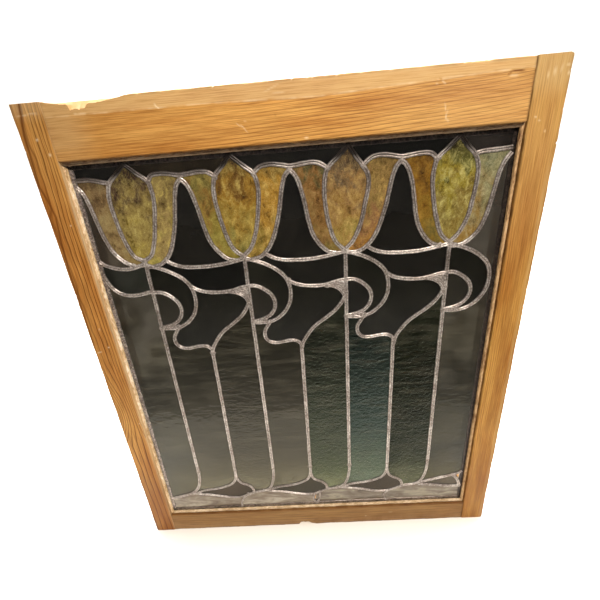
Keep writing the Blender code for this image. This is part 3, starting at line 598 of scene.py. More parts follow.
BASE_LEADS = (
    (((89.0, 610.0), (80.0, 617.5), (75.0, 625.0), (72.8, 632.0), (72.0, 641.4)),),
    (((86.0, 611.5), (78.0, 616.0), (73.4, 622.0), (72.6, 629.0), (74.6, 636.0), (78.5, 641.4)),
     ((86.0, 611.5), (85.4, 619.0), (84.8, 627.0), (83.0, 634.0), (78.5, 640.4))),
    (((76.0, 615.5), (69.5, 621.5), (66.5, 629.0), (68.0, 636.0), (70.3, 641.4)),),
)
LEFT_EDGE = (
    ((-66.0, 18.4), (-56.5, 18.1), (-48.5, 18.2), (-39.5, 19.8), (-31.5, 21.8), (-22.5, 24.0)),
    ((-66.0, 27.0), (-62.5, 31.0), (-59.0, 38.0), (-56.5, 48.0), (-54.6, 60.0), (-52.0, 79.0),
     (-48.6, 96.0), (-44.6, 109.0), (-40.0, 118.0), (-34.8, 125.3), (-27.5, 132.0),
     (-18.0, 137.2)),
    ((-66.0, 127.6), (-61.0, 132.0), (-53.5, 135.9), (-44.7, 139.1), (-34.7, 140.9),
     (-24.7, 140.9), (-14.7, 139.1), (-7.0, 136.9), (0.0, 136.0)),
    ((-66.0, 148.5), (-64.3, 155.8), (-61.6, 162.8), (-57.2, 170.3), (-51.0, 175.9),
     (-43.5, 179.7), (-33.5, 181.6), (-23.5, 181.6), (-14.7, 180.3), (-6.0, 178.6),
     (0.0, 178.2)),
    ((-66.0, 614.6), (-61.0, 611.3), (-51.0, 608.2), (-41.0, 605.7), (-31.0, 602.8),
     (-23.5, 600.0), (-16.0, 595.6), (-10.0, 589.0), (-5.8, 581.0), (-2.8, 571.0),
     (-0.5, 558.0), (0.0, STEM_END)),
)
RIGHT_EDGE = (
    ((23.5, 24.6), (29.4, 23.1), (36.4, 22.6), (46.4, 22.2), (56.4, 21.8), (66.7, 21.2)),
    ((66.7, 26.8), (62.0, 33.0), (58.2, 39.5), (55.0, 49.0), (53.2, 59.0), (50.0, 79.0),
     (47.3, 94.0), (44.6, 105.0), (40.8, 115.5), (35.8, 124.5), (29.0, 132.0),
     (19.5, 138.6), (9.5, 141.0), (0.0, 140.5)),
    ((-12.6, 601.3), (-5.6, 597.0), (4.4, 594.2), (14.4, 591.3), (26.9, 588.2), (36.9, 585.7),
     (44.4, 583.8), (53.2, 581.6), (60.4, 578.3), (66.7, 573.5)),
    ((-13.0, 602.6), (-3.0, 603.8), (6.8, 605.1), (16.4, 606.2), (26.9, 608.2), (39.4, 610.7),
     (51.9, 611.5), (66.7, 612.4)),
    ((50.0, 582.6), (56.6, 589.8), (61.5, 598.8), (64.8, 610.0)),
)

cames = {"petal_leads": [], "scroll_leads": [], "stem_leads": [], "foot_leads": []}


def lay(group, stem, points, width=CAME):
    """Notes one came of the cartoon, its points relative to a stem."""
    cames[group].append((np.array(points, float) + (stem, 0), width))


for stem, tip, left, right, left_flank, right_flank, base in TULIPS:
    top, foot = (tip, BORDER / 2), (-1.0, base)
    for shoulder, flank, flank_y, side in (
        (left, left_flank, 50.0, ((-20.5, 104.0), (-12.7, 124.0))),
        (right, right_flank, 47.0, ((20.3, 104.0), (10.8, 124.0))),
    ):
        over_tip = ((tip + shoulder[0]) / 2, (BORDER + shoulder[1]) / 2 - 1.0)
        over_flank = (0.75 * flank + 0.25 * shoulder[0], (shoulder[1] + flank_y) / 2 - 0.5)
        waist = (0.4 * flank + 0.7 * side[0][0], (flank_y + side[0][1]) / 2 + 2.0)
        lay("petal_leads", stem, (top, over_tip, shoulder, over_flank, (flank, flank_y), waist,
                                  *side, foot))
    lay("scroll_leads", stem, OUTER_LEAF)
    lay("scroll_leads", stem, INNER_LEAF)
    lay("stem_leads", stem, ((0.0, base), (0.0, 340.0), (0.0, STEM_END)))
for number, (stem, _, _, right, _, _, _) in enumerate(TULIPS[:-1]):
    after, _, left = TULIPS[number + 1][:3]
    apart = after - stem
    for group, first, (near, far), last in (
        ("petal_leads", (right,), WAVE, ((left[0] + apart, left[1]),)),
        ("petal_leads", (), UPPER_SAG, ()),
        ("scroll_leads", (), LOWER_SAG, ()),
    ):
        lay(group, stem, (*first, *near, *((x + apart, y) for x, y in far), *last))
    lay("petal_leads", stem, (PEAK, *RIGHT_PETAL))
    lay("petal_leads", after, ((PEAK[0] - apart, PEAK[1]), *LEFT_PETAL))
    lay("scroll_leads", stem, SWOOP)
    lay("scroll_leads", after, SWAN_NECK)
    lay("scroll_leads", after, FILLET, THIN_CAME)
    lay("stem_leads", stem, SIDE_SHOOT)
    lay("foot_leads", stem, LENS_LEFT, LENS_CAME)
    lay("foot_leads", stem, LENS_RIGHT, LENS_CAME)
    lay("foot_leads", stem, LENS_BOTTOM, LOW_CAME)
    for line in BASE_LEADS[number]:
        lay("foot_leads", stem, line, BASE_CAME)
    lens_end = (LENS_RIGHT[-1][0] - apart, LENS_RIGHT[-1][1])
    lay("foot_leads", after, (lens_end, *STEM_FOOT), FOOT_CAME)
for number, line in enumerate(LEFT_EDGE):
    lay("foot_leads" if number == 4 else "petal_leads", TULIPS[0][0], line)
for number, line in enumerate(RIGHT_EDGE):
    lay("foot_leads" if number > 1 else "petal_leads", TULIPS[-1][0], line)

# The cartoon is stretched by a hair so that its outer points lie along the border cames
drawn = np.concatenate([line for lines in cames.values() for line, _ in lines])
drawn_low, drawn_high = drawn.min(0), drawn.max(0)
light_size = 1000 * np.array([sight_right - sight_left, sight_top - sight_bottom])
stretch = (light_size - BORDER) / (drawn_high - drawn_low)


def onto_panel(xy, proud):
    """Cartoon millimetres, and millimetres proud of the panel's middle, in world metres."""
    fitted = BORDER / 2 + (xy - drawn_low) * stretch
    return stack(sight_left + fitted[..., 0] / 1000, PANEL_MIDDLE - proud / 1000,
                 sight_top - fitted[..., 1] / 1000)


def bend(points, step):
    """A smooth line through points: Hermite arcs whose slopes average the chords' directions."""
    chords = np.diff(points, axis=0)
    lengths = np.linalg.norm(chords, axis=1)
    ahead = chords / lengths[:, None]
    slopes = np.concatenate([ahead[:1], (ahead[1:] + ahead[:-1]) / 2, ahead[-1:]])
    parts = []
    for start, end, leave, arrive, length in zip(points, points[1:], slopes, slopes[1:], lengths):
        t = np.linspace(0, 1, max(int(length / step), 2), endpoint=False)[:, None]
        parts.append(start * (1 - t) ** 2 * (1 + 2 * t) + end * t * t * (3 - 2 * t)
                     + leave * length * t * (1 - t) ** 2 - arrive * length * t * t * (1 - t))
    return np.concatenate(parts + [points[-1:]])


# The face is two lobes, each the root of one minus distance squared, that meet in the seam
face_turn = np.array([-1, -0.97, -0.86, -0.68, -0.5, -0.32, -0.16, -0.06, 0,
                      0.06, 0.16, 0.32, 0.5, 0.68, 0.86, 0.97, 1])
back_turn = face_turn[2:-2:2][::-1]
came_turn = np.concatenate([face_turn, back_turn])
lobes = np.sqrt(np.maximum(1 - ((np.abs(came_turn) - 0.42) / 0.58) ** 2, 0))
came_height = GLASS / 2 - 0.4 + (CROWN + 0.4) * lobes - 0.42 * np.exp(-(came_turn / 0.10) ** 2)
came_height[len(face_turn):] *= -1
came_seam = np.exp(-(came_turn / 0.14) ** 2)
came_rim = np.abs(came_turn) ** 5


def came_tube(line, width, seed, step=2.2, unsteady=0.2):
    """The came's section carried along its bent line, a little wider and narrower as it goes."""
    line = bend(line, step)
    walked = np.concatenate([[0], np.cumsum(np.linalg.norm(np.diff(line, axis=0), axis=1))])
    tangent = np.gradient(line, axis=0)
    tangent /= np.linalg.norm(tangent, axis=1)[:, None]
    normal = np.stack([-tangent[:, 1], tangent[:, 0]], 1)
    line = line + normal * (unsteady * waver(walked, 60.0, seed))[:, None]
    half = width / 2 * (1 + 0.07 * waver(walked, 23.0, seed + 1))[:, None]
    leaning = 0.12 * waver(walked, 40.0, seed + 3)[:, None] * came_turn * (came_height > 0)
    crown = 1 + 0.07 * waver(walked, 12.0, seed + 2)[:, None]
    where = line[:, None, :] + normal[:, None, :] * (half * came_turn)[..., None]
    points = onto_panel(where, came_height * crown + leaning)
    return points, np.broadcast_to(came_seam, half.shape[:1] + came_seam.shape), came_rim + 0 * half


def milled_lead(name, dull, body, bright, crumbs=0.0, roughness=0.3):
    """Lead that has lain in a window: soft, grey with a pink cast, brighter where rubbed.

    The seam and the edges hold dark cement, and the face has hammer and knife marks. Under the
    top rail, dirt and painted shade darken it.
    crumbs is how much of it old white putty covers.
    """
    made, shader = new_material(name, Metallic=0.6, Roughness=roughness)
    place = node(made, "TexCoord").outputs["Object"]
    dirt = node(made, "Attribute", attribute_name="dirt")
    dents = node(made, "TexNoise", {"Vector": place, "Scale": every(2.4), "Detail": 5.0,
                 "Roughness": 0.65})
    patina = node(made, "TexNoise", {"Vector": place, "Scale": every(24), "Detail": 4.0,
                  "Roughness": 0.6})
    both = node(made, "Math", {0: patina, 1: 0.4, 2: dents}, operation="MULTIPLY_ADD")
    tone = node(made, "ValToRGB", {"Fac": both}, ((0.52, dull), (0.68, body), (0.84, bright)))
    ragged = node(made, "MapRange", {0: dents, 1: 0.3, 2: 0.7, 3: 0.55, 4: 1.25})
    # The dirt attribute holds the cement, and under the top rail dirt with painted shade
    packed_dirt_and_shade = node(made, "Math", {0: dirt.outputs["Fac"], 1: ragged}, operation="MULTIPLY",
                  use_clamp=True)
    colour = node(made, "Mix", {0: packed_dirt_and_shade, 6: tone, 7: linear("#2b2420")}, data_type="RGBA")
    specks = node(made, "TexNoise", {"Vector": place, "Scale": every(2.6), "Detail": 3.0})
    putty = node(made, "MapRange", {0: specks, 1: 0.54, 2: 0.62, 4: crumbs})
    crumbed = node(made, "Mix", {0: putty, 6: colour, 7: linear("#d8cdbb")}, data_type="RGBA")
    return finish(made, shader, crumbed, dents, 0.5, 0.0007)


def soot_and_rail_shade(grid):
    """Dirt where a cloth never reached, and painted shade of the top rail: full 8 mm under it, none 26
    mm down.
    """
    return 1.3 * (1 - ease((sight_top - grid[..., 2]) * 1000, 8, 26))


def lead_piece(name, tubes, material):
    """One piece of several closed tubes, each its grid of points and how dirty each point is."""
    points, faces, dirt, start = [], [], [], 0
    for grid, grime_and_shade in tubes:
        quads, caps = skin(*grid.shape[:2], start)
        points.append(grid.reshape(-1, 3))
        dirt.append(grime_and_shade.ravel())
        faces += quads + caps
        start += grid.shape[0] * grid.shape[1]
    return mesh_piece(name, np.concatenate(points), faces, material, "lead",
                      dirt=np.concatenate(dirt))


lead = milled_lead("milled_lead", "#776a61", "#a99b92", "#e6dcd4")
for order, (group, lines) in enumerate(cames.items()):
    tubes = []
    for number, (line, width) in enumerate(lines):
        grid, seam, rim = came_tube(line, width, 1000 * order + 10 * number)
        # Cement in the seam and at the edges, and dirt with painted shade under the top rail
        tubes.append((grid, 0.9 * seam + 0.9 * rim + soot_and_rail_shade(grid)))
    piece = lead_piece(group, tubes, lead)
    if group == "stem_leads":
        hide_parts("leadwork")

# The border cames: four wider flat leads round the panel. The beads hide their outer halves.
# The upper and right ones are nearly black from old dirt and from painted shade, cast by the
# top rail and the right stile.
BORDER_CAME = 11.2
FLAT_CROWN = 0.9
REACH = 4.0
left_x, right_x = drawn_low[0] - BORDER / 2, drawn_high[0] + BORDER / 2
top_y, bottom_y = drawn_low[1] - BORDER / 2, drawn_high[1] + BORDER / 2
inset = BORDER_CAME / 2 - BORDER
# Old dirt with painted shade: the near-black lead of the upper and right borders
grimy_and_shaded_lead = milled_lead("grimed_and_shaded_lead", "#1d1814", "#3a322d", "#5a4e47")
for name, ends, material, seed in (
    ("left_border_lead", ((left_x - inset, top_y - REACH), (left_x - inset, bottom_y + REACH)),
     milled_lead("left_border", "#5a4f49", "#8d807c", "#bdb2af", 0.7), 71),
    ("right_border_lead", ((right_x + inset, top_y - REACH), (right_x + inset, bottom_y + REACH)),
     grimy_and_shaded_lead, 72),
    ("top_border_lead", ((left_x - REACH, top_y - inset), (right_x + REACH, top_y - inset)),
     grimy_and_shaded_lead, 73),
    ("bottom_border_lead", ((left_x - REACH, bottom_y + inset), (right_x + REACH, bottom_y + inset)),
     milled_lead("bottom_border", "#3c322b", "#75695f", "#a3978d"), 74),
):
    grid, _, rim = came_tube(np.array(ends, float), BORDER_CAME, seed, 5.0, 0.1)
    grid[..., 1] = np.maximum(grid[..., 1], PANEL_MIDDLE - (GLASS / 2 + FLAT_CROWN) / 1000)
    lead_piece(name, [(grid, 0.8 * rim)], material)

# Solder: tin and lead melted across both cames where they meet, in a lumpy, matt puddle.
# There is one at each joint, on the front and on the back, and more fills the sharp corners
# beside the fillets.
solder = milled_lead("tinned_solder", "#6a6059", "#91867e", "#b8aea5", roughness=0.7)


def puddle(centre, radius, side, seed):
    """A low dome over an uneven round outline: height is the root of one minus distance^3."""
    around = np.linspace(0, 2 * np.pi, 18, endpoint=False)
    out = np.array([1.0, 0.93, 0.78, 0.5, 0.15])[:, None]
    edge = radius * (1 + 0.2 * waver(around, 3.14, seed) + 0.1 * waver(around, 1.57, seed + 1))
    ring = centre + np.stack([np.cos(around), np.sin(around)], -1)[None] * (out * edge)[..., None]
    height = GLASS / 2 - 0.6 + (CROWN + 0.78) * np.sqrt(np.maximum(1 - out ** 3, 0)) + 0 * edge
    return onto_panel(ring, side * height)


ONE_PUDDLE = 6.5
PUDDLE_RADIUS = 3.9
PUDDLE_SPREAD = 0.7
joints = []
for lines in cames.values():
    for line, _ in lines:
        for end in (line[0], line[-1]):
            on_border = end[0] < drawn_low[0] + 1 or end[0] > drawn_high[0] - 1
            apart = [np.linalg.norm(end - other) for other in joints]
            if not on_border and all(gap > ONE_PUDDLE for gap in apart):
                joints.append(end)
tubes = []
# Near the top rail the solder takes the same dirt and painted shade as the cames
for number, joint in enumerate(joints):
    for side in (1, -1):
        radius = PUDDLE_RADIUS + PUDDLE_SPREAD * math.sin(number * 2.3)
        grid = puddle(joint, radius, side, 500 + number)
        tubes.append((grid, soot_and_rail_shade(grid)))
for number, (stem, *_) in enumerate(TULIPS):
    runs = [(LEAF_SOLDER, 6.4)]
    if number:
        runs += [(FILLET_SOLDER, 6.6), (CORNER_SOLDER, 7.4)]
    for run, width in runs:
        grid = came_tube(np.array(run) + (stem, 0), width, 900 + number)[0]
        tubes.append((grid, soot_and_rail_shade(grid)))
lead_piece("solder_joints", tubes, solder)

# The glass: flat cut panes, one for each opening, slid into the cames' channels. Each pane
# sits a hair out of true, so each catches the light in its own way.
IN_CHANNEL = 0.0016
OUT_OF_TRUE = 0.0004


def pane(cad_name, material, seed):
    """A copy of the cut pane, its edges moved outwards into the cames, tilted very slightly."""
    solid = bmesh.new()
    solid.from_mesh(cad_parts[cad_name].data)
    bmesh.ops.remove_doubles(solid, verts=solid.verts, dist=1e-6)
    moves = []
    for vertex in solid.verts:
        sides = [np.array(face.normal)[[0, 2]] for face in vertex.link_faces
                 if abs(face.normal.y) < 0.5]
        first = sides[0]
        second = min(sides, key=lambda other: other @ first)
        moves.append((first + second) * min(IN_CHANNEL / max(1 + first @ second, 0.2), 0.004))
    places = np.array([vertex.co for vertex in solid.verts])[:, [0, 2]] + np.array(moves)
    middle = (places.max(0) + places.min(0)) / 2
    half = (places.max(0) - places.min(0)) / 2
    tilt = np.random.default_rng(seed).uniform(-1, 1, 2) * OUT_OF_TRUE / half
    for vertex, place in zip(solid.verts, places):
        vertex.co.x, vertex.co.z = place
        vertex.co.y += (place - middle) @ tilt / 2
    name = cad_name + "_glass"
    mesh = bpy.data.meshes.new(name)
    solid.to_mesh(mesh)
    solid.free()
    mesh.materials.append(material)
    piece = bpy.data.objects.new(name, mesh)
    bpy.context.scene.collection.objects.link(piece)
    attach(piece, "root")
    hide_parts(cad_name)
    return piece


def glass(name, roughness, see_through, sheen="#ffffff"):
    """Sheet glass, IOR 1.52: glossy and partly clear. It also gives the place on the sheet.

    sheen is the tint of what it reflects.
    """
    made, shader = new_material(name, IOR=1.52, Roughness=roughness,
                                Transmission_Weight=see_through, Specular_Tint=linear(sheen))
    return made, shader, node(made, "TexCoord").outputs["Object"]


def dark_glass(name, deep, pale, sheen="#ffffff"):
    """Deep green cathedral glass, nearly black against a room: smooth, slowly waved, dusty."""
    made, shader, place = glass(name, 0.03, 0.4, sheen)
    cloud = node(made, "TexNoise", {"Vector": place, "Scale": every(45), "Detail": 4.0,
                 "Roughness": 0.6})
    colour = node(made, "ValToRGB", {"Fac": cloud}, ((0.35, deep), (0.7, pale)))
    dust = node(made, "TexNoise", {"Vector": place, "Scale": every(1.6), "Detail": 3.0,
                "Roughness": 0.7})
    settled = node(made, "MapRange", {0: dust, 1: 0.56, 2: 0.78, 4: 0.35})
    dusted = node(made, "Mix", {0: settled, 6: colour, 7: linear("#6c675e")}, data_type="RGBA")
    wave = node(made, "TexNoise", {"Vector": place, "Scale": every(30), "Detail": 2.0})
    return finish(made, shader, dusted, wave, 0.3, 0.0012)


# The grounds round the flowers, with the bells and bands under them: black-green cathedral
# glass, cut to each opening. Each sheet is a little darker or browner than the next.
ground = dark_glass("black_green_glass", "#0e0c0a", "#1c1a16")
GROUNDS = {"bell_right": ("#39352f", "#4d4840"), "bell_left": ("#39322a", "#4c443a"),
           "band_left": ("#1a1b16", "#2a2a25"), "top_ground_right": ("#1a1613", "#2b2622"),
           "top_ground_1": ("#16110b", "#282117"), "top_ground_3": ("#070604", "#11100d"),
           "band_1": ("#040403", "#0c0b09"), "band_2": ("#0b0a08", "#181612"),
           "band_3": ("#090806", "#161410")}
for name in ("top_ground_left", "top_ground_1", "top_ground_2", "top_ground_3",
             "top_ground_right", "bell_left", "bell_1", "bell_2", "bell_3", "bell_right",
             "band_left", "band_1", "band_2", "band_3"):
    sheet = dark_glass(name + "_sheet", *GROUNDS[name]) if name in GROUNDS else ground
    pane(name, sheet, len(name) * 7 + ord(name[-1]))

# The leaves and buds: the same smooth, dark glass, a little paler in the inner leaves, cut
# to curl round the stems.
leaf = dark_glass("leaf_green_glass", "#0a0905", "#16150f")
inner_leaf = dark_glass("inner_leaf_glass", "#17140f", "#28251e")
dark_leaf = dark_glass("dark_leaf_glass", "#0a0907", "#191713")
for number in (1, 2, 3, 4):
    pane(f"outer_leaf_{number}", leaf, 60 + number)
    pane(f"inner_leaf_{number}", dark_leaf if number == 3 else inner_leaf,
         70 + number)
    if number < 4:
        pane(f"bud_{number}", leaf, 80 + number)

# The eight long panes between the stems and shoots: grey-green background glass in tall
# strips, five of them rippled and three hammered.


def long_glass(name, tones, sheen, rolled):
    """Grey-green cathedral glass, its tone paler towards the foot of the pane, a painted reflection
    of the pale floor in front.

    tones are (height above the sash's underside in metres, hex). rolled is the length and
    height in millimetres of the dimples or ripples that were rolled into its face, and how
    strongly they show.
    """
    made, shader, place = glass(name, 0.08, 0.4, sheen)
    axes = node(made, "SeparateXYZ", {0: place})
    cloud = node(made, "TexNoise", {"Vector": place, "Scale": every(55), "Detail": 5.0,
                 "Roughness": 0.6})
    drift = node(made, "MapRange", {0: cloud, 1: 0.3, 2: 0.7, 3: -0.035, 4: 0.035})
    level = node(made, "Math", {0: axes.outputs[2], 1: drift}, operation="ADD")
    low, span = tones[0][0], tones[-1][0] - tones[0][0]
    share = node(made, "MapRange", {0: level, 1: low, 2: low + span})
    colour = node(made, "ValToRGB", {"Fac": share}, [((z - low) / span, tone) for z, tone in tones])
    sized = node(made, "Mapping", {"Vector": place,
                 "Scale": (every(rolled[0]), every(rolled[0]), every(rolled[1]))})
    ripple = node(made, "TexNoise", {"Vector": sized, "Scale": 1.0, "Detail": 1.6,
                  "Distortion": 0.6})
    smears = node(made, "ValToRGB", {"Fac": cloud}, ((0.36, "#a39e90"), (0.6, "#ffffff")))
    smeared = node(made, "Mix", {0: 1.0, 6: colour, 7: smears}, data_type="RGBA",
                   blend_type="MULTIPLY")
    wiped = node(made, "Mapping", {"Vector": place, "Scale": (every(60), every(60), every(12))})
    film = node(made, "TexNoise", {"Vector": wiped, "Scale": 1.0, "Detail": 5.0, "Roughness": 0.6})
    thick = node(made, "MapRange", {0: film, 1: 0.46, 2: 0.7, 4: 0.08})
    filmed = node(made, "Mix", {0: thick, 6: smeared, 7: linear("#a39a84")}, data_type="RGBA")
    return finish(made, shader, filmed, ripple, rolled[2], 0.0015)


# These tones by height are a painted reflection: pale at the foot, where the floor in front shows in
# the glass, and dark higher up
PLAIN = ((0.06, "#6f6853"), (0.115, "#6c6650"), (0.145, "#514b39"), (0.18, "#322d20"),
         (0.235, "#211d12"), (0.30, "#17140d"), (0.38, "#100f08"), (0.46, "#1c1a12"))
GREEN = ((0.06, "#6d7050"), (0.112, "#6d7050"), (0.142, "#454a2e"), (0.18, "#2d301c"),
         (0.232, "#1b1f10"), (0.30, "#12140a"), (0.38, "#0e0f08"), (0.46, "#1a1a12"))
TEAL = ((0.06, "#646d57"), (0.112, "#646d57"), (0.142, "#4e563f"), (0.18, "#38402e"),
        (0.232, "#131c14"), (0.30, "#0e140f"), (0.38, "#0a0d08"), (0.46, "#181813"))
DIM = ((0.06, "#595b42"), (0.112, "#5b5d44"), (0.142, "#3c3f2a"), (0.18, "#1c1f11"),
       (0.232, "#14170a"), (0.30, "#121409"), (0.38, "#101209"), (0.46, "#1f2017"))
GREY = ((0.06, "#4f482f"), (0.12, "#4d462d"), (0.17, "#28241a"), (0.232, "#332e20"),
        (0.30, "#25221b"), (0.34, "#33302a"), (0.40, "#464238"), (0.46, "#45413a"))
HAMMERED = (6.5, 5.2, 1.0)
RIPPLED = (24.0, 10.0, 0.3)
CLOSE_RIPPLED = (13.0, 4.6, 0.55)
for order, (name, tones, sheen, rolled) in enumerate((
    ("long_pane_left_edge", GREY, "#f2efdc", RIPPLED),
    ("long_pane_left_of_shoot_1", PLAIN, "#f0ead6", RIPPLED),
    ("long_pane_right_of_shoot_1", PLAIN, "#f0ead6", CLOSE_RIPPLED),
    ("long_pane_left_of_shoot_2", PLAIN, "#f0ead6", RIPPLED),
    ("long_pane_right_of_shoot_2", GREEN, "#cbdabf", HAMMERED),
    ("long_pane_left_of_shoot_3", TEAL, "#c4e4d7", HAMMERED),
    ("long_pane_right_of_shoot_3", DIM, "#6f7c64", HAMMERED),
    ("long_pane_right_edge", GREY, "#aaac9e", RIPPLED),
)):
    sheet = long_glass(name + "_sheet", tones, sheen, rolled)
    pane(name, sheet, 90 + order)

# The petals: three to a flower, cut from opalescent sheets of amber, khaki, brown and green
# glass, so that no two petals have the same colours.


def petal_glass(name, tones, wisps, turn):
    """Opalescent glass: cloudy melts poured together and rolled, so colours drift and curdle.

    tones are hex colours from the petal's foot to its tip, the tip ones darker as painted shade
    under the top rail, and wisps is the colour of the thin milky threads. The rolled face has a
    fine grain, drawn 1.4 mm across so that it shows.
    """
    made, shader, place = glass(name, 0.14, 0.22)
    axes = node(made, "SeparateXYZ", {0: place})
    turned = node(made, "Mapping", {"Vector": place, "Location": (turn, 0, -turn),
                  "Rotation": (0, turn, 0), "Scale": (1.0, 1.0, 0.7)})
    melt = node(made, "TexNoise", {"Vector": turned, "Scale": every(17), "Detail": 4.0,
                "Roughness": 0.6, "Distortion": 0.5})
    drift = node(made, "MapRange", {0: melt, 1: 0.3, 2: 0.7, 3: -0.05, 4: 0.05})
    level = node(made, "Math", {0: axes.outputs[2], 1: drift}, operation="ADD")
    share = node(made, "MapRange", {0: level, 1: 0.555, 2: 0.690})
    body = node(made, "ValToRGB", {"Fac": share}, tuple(zip((0.0, 0.3, 0.62, 0.88), tones)))
    # Painted shade: the petals darken to brown near the top, as in the top rail's shadow
    tip = node(made, "MapRange", {0: axes.outputs[2], 1: 0.658, 2: 0.684, 4: 0.85})
    curdle = node(made, "TexNoise", {"Vector": turned, "Scale": every(9), "Detail": 5.0,
                  "Roughness": 0.64, "Distortion": 0.4})
    clotted = node(made, "MapRange", {0: curdle, 1: 0.5, 2: 0.68, 4: 0.7})
    milky = node(made, "Mix", {0: clotted, 6: body, 7: linear(wisps)}, data_type="RGBA")
    shaded_tip = node(made, "Mix", {0: tip, 6: milky, 7: linear("#2c2014")}, data_type="RGBA")
    shaded = node(made, "ValToRGB", {"Fac": curdle},
                  ((0.31, "#84705c"), (0.46, "#eee7dc"), (0.7, "#ffffff")))
    smoky = node(made, "Mix", {0: 0.9, 6: shaded_tip, 7: shaded}, data_type="RGBA",
                 blend_type="MULTIPLY")
    grain = node(made, "TexNoise", {"Vector": place, "Scale": every(1.4), "Detail": 3.0,
                 "Roughness": 0.7})
    grained = node(made, "ValToRGB", {"Fac": grain}, ((0.32, "#a8a297"), (0.62, "#ffffff")))
    speckled = node(made, "Mix", {0: 0.7, 6: smoky, 7: grained}, data_type="RGBA",
                    blend_type="MULTIPLY")
    thread = node(made, "TexNoise", {"Vector": turned, "Scale": every(14), "Detail": 2.0,
                  "Distortion": 2.4})
    thin = node(made, "ValToRGB", {"Fac": thread},
                ((0.50, "#000000"), (0.525, "#8c8c8c"), (0.55, "#000000")))
    colour = node(made, "Mix", {0: thin, 6: speckled, 7: linear(wisps)}, data_type="RGBA")
    return finish(made, shader, colour, grain, 0.35, 0.0006)


PETALS = {
    "left_petal_1": (("#a18c5c", "#a59063", "#927a57", "#6b563d"), "#a79668"),
    "centre_petal_1": (("#ad9b45", "#a69454", "#94824e", "#5e4c3b"), "#c6b66f"),
    "right_petal_1": (("#a99e57", "#a38e5d", "#a6935d", "#857449"), "#d4bf69"),
    "left_petal_2": (("#8c833e", "#93833e", "#98773e", "#786e3b"), "#b6a659"),
    "centre_petal_2": (("#8b8346", "#9a813c", "#a07d34", "#735326"), "#c8b161"),
    "right_petal_2": (("#937e3c", "#a68542", "#b58d3c", "#a08747"), "#d6b668"),
    "left_petal_3": (("#8a7b41", "#886a3d", "#8c673a", "#5f5f3d"), "#b3945e"),
    "centre_petal_3": (("#9e8f4c", "#a38449", "#9c7c4e", "#6f5e49"), "#c8ab6a"),
    "right_petal_3": (("#a4793c", "#96704d", "#98814d", "#8d7547"), "#caa65e"),
    "left_petal_4": (("#786b37", "#876b29", "#8b6525", "#6a4d25"), "#ad893c"),
    "centre_petal_4": (("#927e3f", "#897941", "#9f9039", "#6c6b39"), "#d2c87e"),
    "right_petal_4": (("#a08245", "#988960", "#92906a", "#8d9073"), "#c1b58b"),
}
for order, (name, (tones, wisps)) in enumerate(PETALS.items()):
    pane(name, petal_glass(name + "_sheet", tones, wisps, 0.4 * order), 110 + order)

# The four lenses over the base row: smooth mauve-brown and grey-green glass, dark and glossy,
# in a chain of long curved cames.
LENSES = {"lens_1": ("#261d13", "#36291d"), "lens_2": ("#16150d", "#28261a"),
          "lens_3": ("#1f1710", "#2e241a"), "lens_right": ("#3a3226", "#4b4334")}
for order, (name, (deep, pale)) in enumerate(LENSES.items()):
    sheet = dark_glass(name + "_sheet", deep, pale, sheen="#ddcab2")
    pane(name, sheet, 130 + order)

# The base row: four panes of opalescent streaky glass, the palest of the window, set in the
# border came at the foot.


def streaky_glass(name, streaks, turn):
    """Opal glass with mauve and white streaks pulled across it, close to level."""
    made, shader, place = glass(name, 0.12, 0.15)
    pulled = node(made, "Mapping", {"Vector": place, "Location": (turn, 0, turn),
                  "Rotation": (0, 0.35 * math.sin(turn * 5), 0), "Scale": (0.45, 1.0, 1.6)})
    melt = node(made, "TexNoise", {"Vector": pulled, "Scale": every(24), "Detail": 6.0,
                "Roughness": 0.62, "Distortion": 0.8})
    colour = node(made, "ValToRGB", {"Fac": melt},
                  tuple(zip((0.30, 0.42, 0.52, 0.64, 0.76), streaks)))
    return finish(made, shader, colour, melt, 0.15, 0.0008)


# Mauve, khaki and milk-white streaks, and the same in the two dimmer panes
STREAKS = ("#5c4c43", "#7c6c5a", "#918370", "#b5ab98", "#76675d")
DUSKY_STREAKS = ("#4d3f37", "#6a5c4c", "#7d7060", "#a0967f", "#64564d")
for order, (name, streaks) in enumerate((
    ("base_pane_left", STREAKS), ("base_pane_1", STREAKS),
    ("base_pane_2", DUSKY_STREAKS), ("base_pane_3", DUSKY_STREAKS),
)):
    pane(name, streaky_glass(name + "_sheet", streaks, 1.3 * order), 140 + order)

# The room: a pale floor that sweeps up behind the sash, and soft light from above and in
# front, as by a high window. None of it is part of the object.
FLOOR_HALF = 3.2
PAPER_EDGE = -0.34
SWEEP_START = 0.5
SWEEP_RADIUS = 0.9
BACKDROP_TOP = 3.4
ROOM = 6
DROP = -0.006


def floor_sheet(name, points, faces, material):
    """A sheet of the floor, which is no part of the object, from its points and faces."""
    mesh = bpy.data.meshes.new(name)
    mesh.from_pydata(points, [], faces)
    mesh.materials.append(material)
    mesh.shade_smooth()
    sheet = bpy.data.objects.new(name, mesh)
    bpy.context.scene.collection.objects.link(sheet)


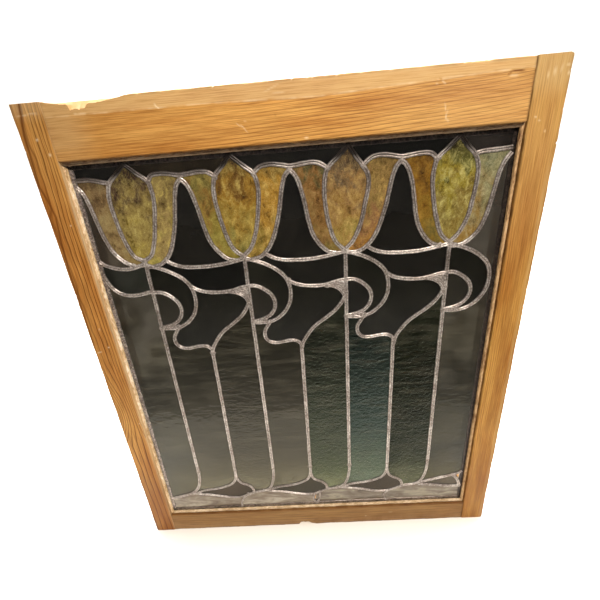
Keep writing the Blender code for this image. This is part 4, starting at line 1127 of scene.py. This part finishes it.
# Uncoated paper: matt and evenly pale, so the sash stands on plain near-white
paper = new_material("pale_paper", Roughness=0.9, Base_Color=linear("#f8f5ee"))[0]
curve = np.linspace(0, math.pi / 2, 14)
sweep_y = np.concatenate([[PAPER_EDGE, SWEEP_START], SWEEP_START + SWEEP_RADIUS * np.sin(curve[1:]),
                          [SWEEP_START + SWEEP_RADIUS]])
sweep_z = np.concatenate([[0, 0], SWEEP_RADIUS - SWEEP_RADIUS * np.cos(curve[1:]),
                          [BACKDROP_TOP]])
sweep = stack(np.array([-FLOOR_HALF, FLOOR_HALF])[None, :], sweep_y[:, None], sweep_z[:, None])
floor_sheet("floor", sweep.reshape(-1, 3).tolist(),
            [[2 * i, 2 * i + 1, 2 * i + 3, 2 * i + 2] for i in range(len(sweep_y) - 1)], paper)

# Painted boards beyond the paper's edge, a little greyer as painted shade, the floor out of the
# lamp's pool: the upper glass reflects them
boards = new_material("boards_in_painted_shade", Roughness=0.8, Base_Color=linear("#c4bfb6"))[0]
floor_sheet("room_floor", [(-ROOM, -ROOM, DROP), (ROOM, -ROOM, DROP), (ROOM, 0, DROP),
                           (-ROOM, 0, DROP)], [(0, 1, 2, 3)], boards)

world = bpy.data.worlds.new("soft_room")
world.use_nodes = True
sky = world.node_tree.nodes["Background"].inputs
sky["Color"].default_value = linear("#e9edf2")
sky["Strength"].default_value = 0.08
bpy.context.scene.world = world


def lamp(name, kind, place, aim, power, colour, **settings):
    """A lamp at place, turned to face aim."""
    light = bpy.data.lights.new(name, kind)
    light.energy = power
    light.color = linear(colour)[:3]
    for key, value in settings.items():
        setattr(light, key, value)
    holder = bpy.data.objects.new(name, light)
    bpy.context.scene.collection.objects.link(holder)
    away = np.array(place, float) - np.array(aim, float)
    holder.location = place
    holder.rotation_euler = (math.atan2(np.hypot(away[0], away[1]), away[2]), 0,
                             math.atan2(away[1], away[0]) + math.pi / 2)


lamp("key", "SPOT", (0.5, -1.15, 1.95), (0.0, 0.0, 0.37), 190.0, "#fff8ee",
     spot_size=math.radians(34), spot_blend=0.3, shadow_soft_size=0.2)
lamp("fill", "AREA", (-0.4, -2.4, 2.0), (0.0, 0.0, 0.5), 1.3, "#f6f8ff", size=1.8,
     spread=math.radians(70))
lamp("backdrop_light", "AREA", (0.0, 1.1, 2.9), (0.0, 1.9, 0.0), 190.0, "#ffffff", size=2.4,
     spread=math.radians(95))

# The camera stands close in front, a little below the head of the sash, and looks down at
# it with a wide lens, as the photographer did.
camera_data = bpy.data.cameras.new("camera")
camera_data.sensor_width = 36.0
camera_data.lens = 18.3
# The picture's middle lies 5 of its 600 pixels beside the lens's axis
camera_data.shift_x = 5 / 600
camera_data.clip_start = 0.01
camera = bpy.data.objects.new("camera", camera_data)
camera.location = (0.0099, -0.4379, 0.6457)
camera.rotation_euler = (math.radians(69.39), math.radians(4.365), math.radians(0.564))
bpy.context.scene.collection.objects.link(camera)
bpy.context.scene.camera = camera
bpy.context.scene.view_settings.view_transform = "Standard"
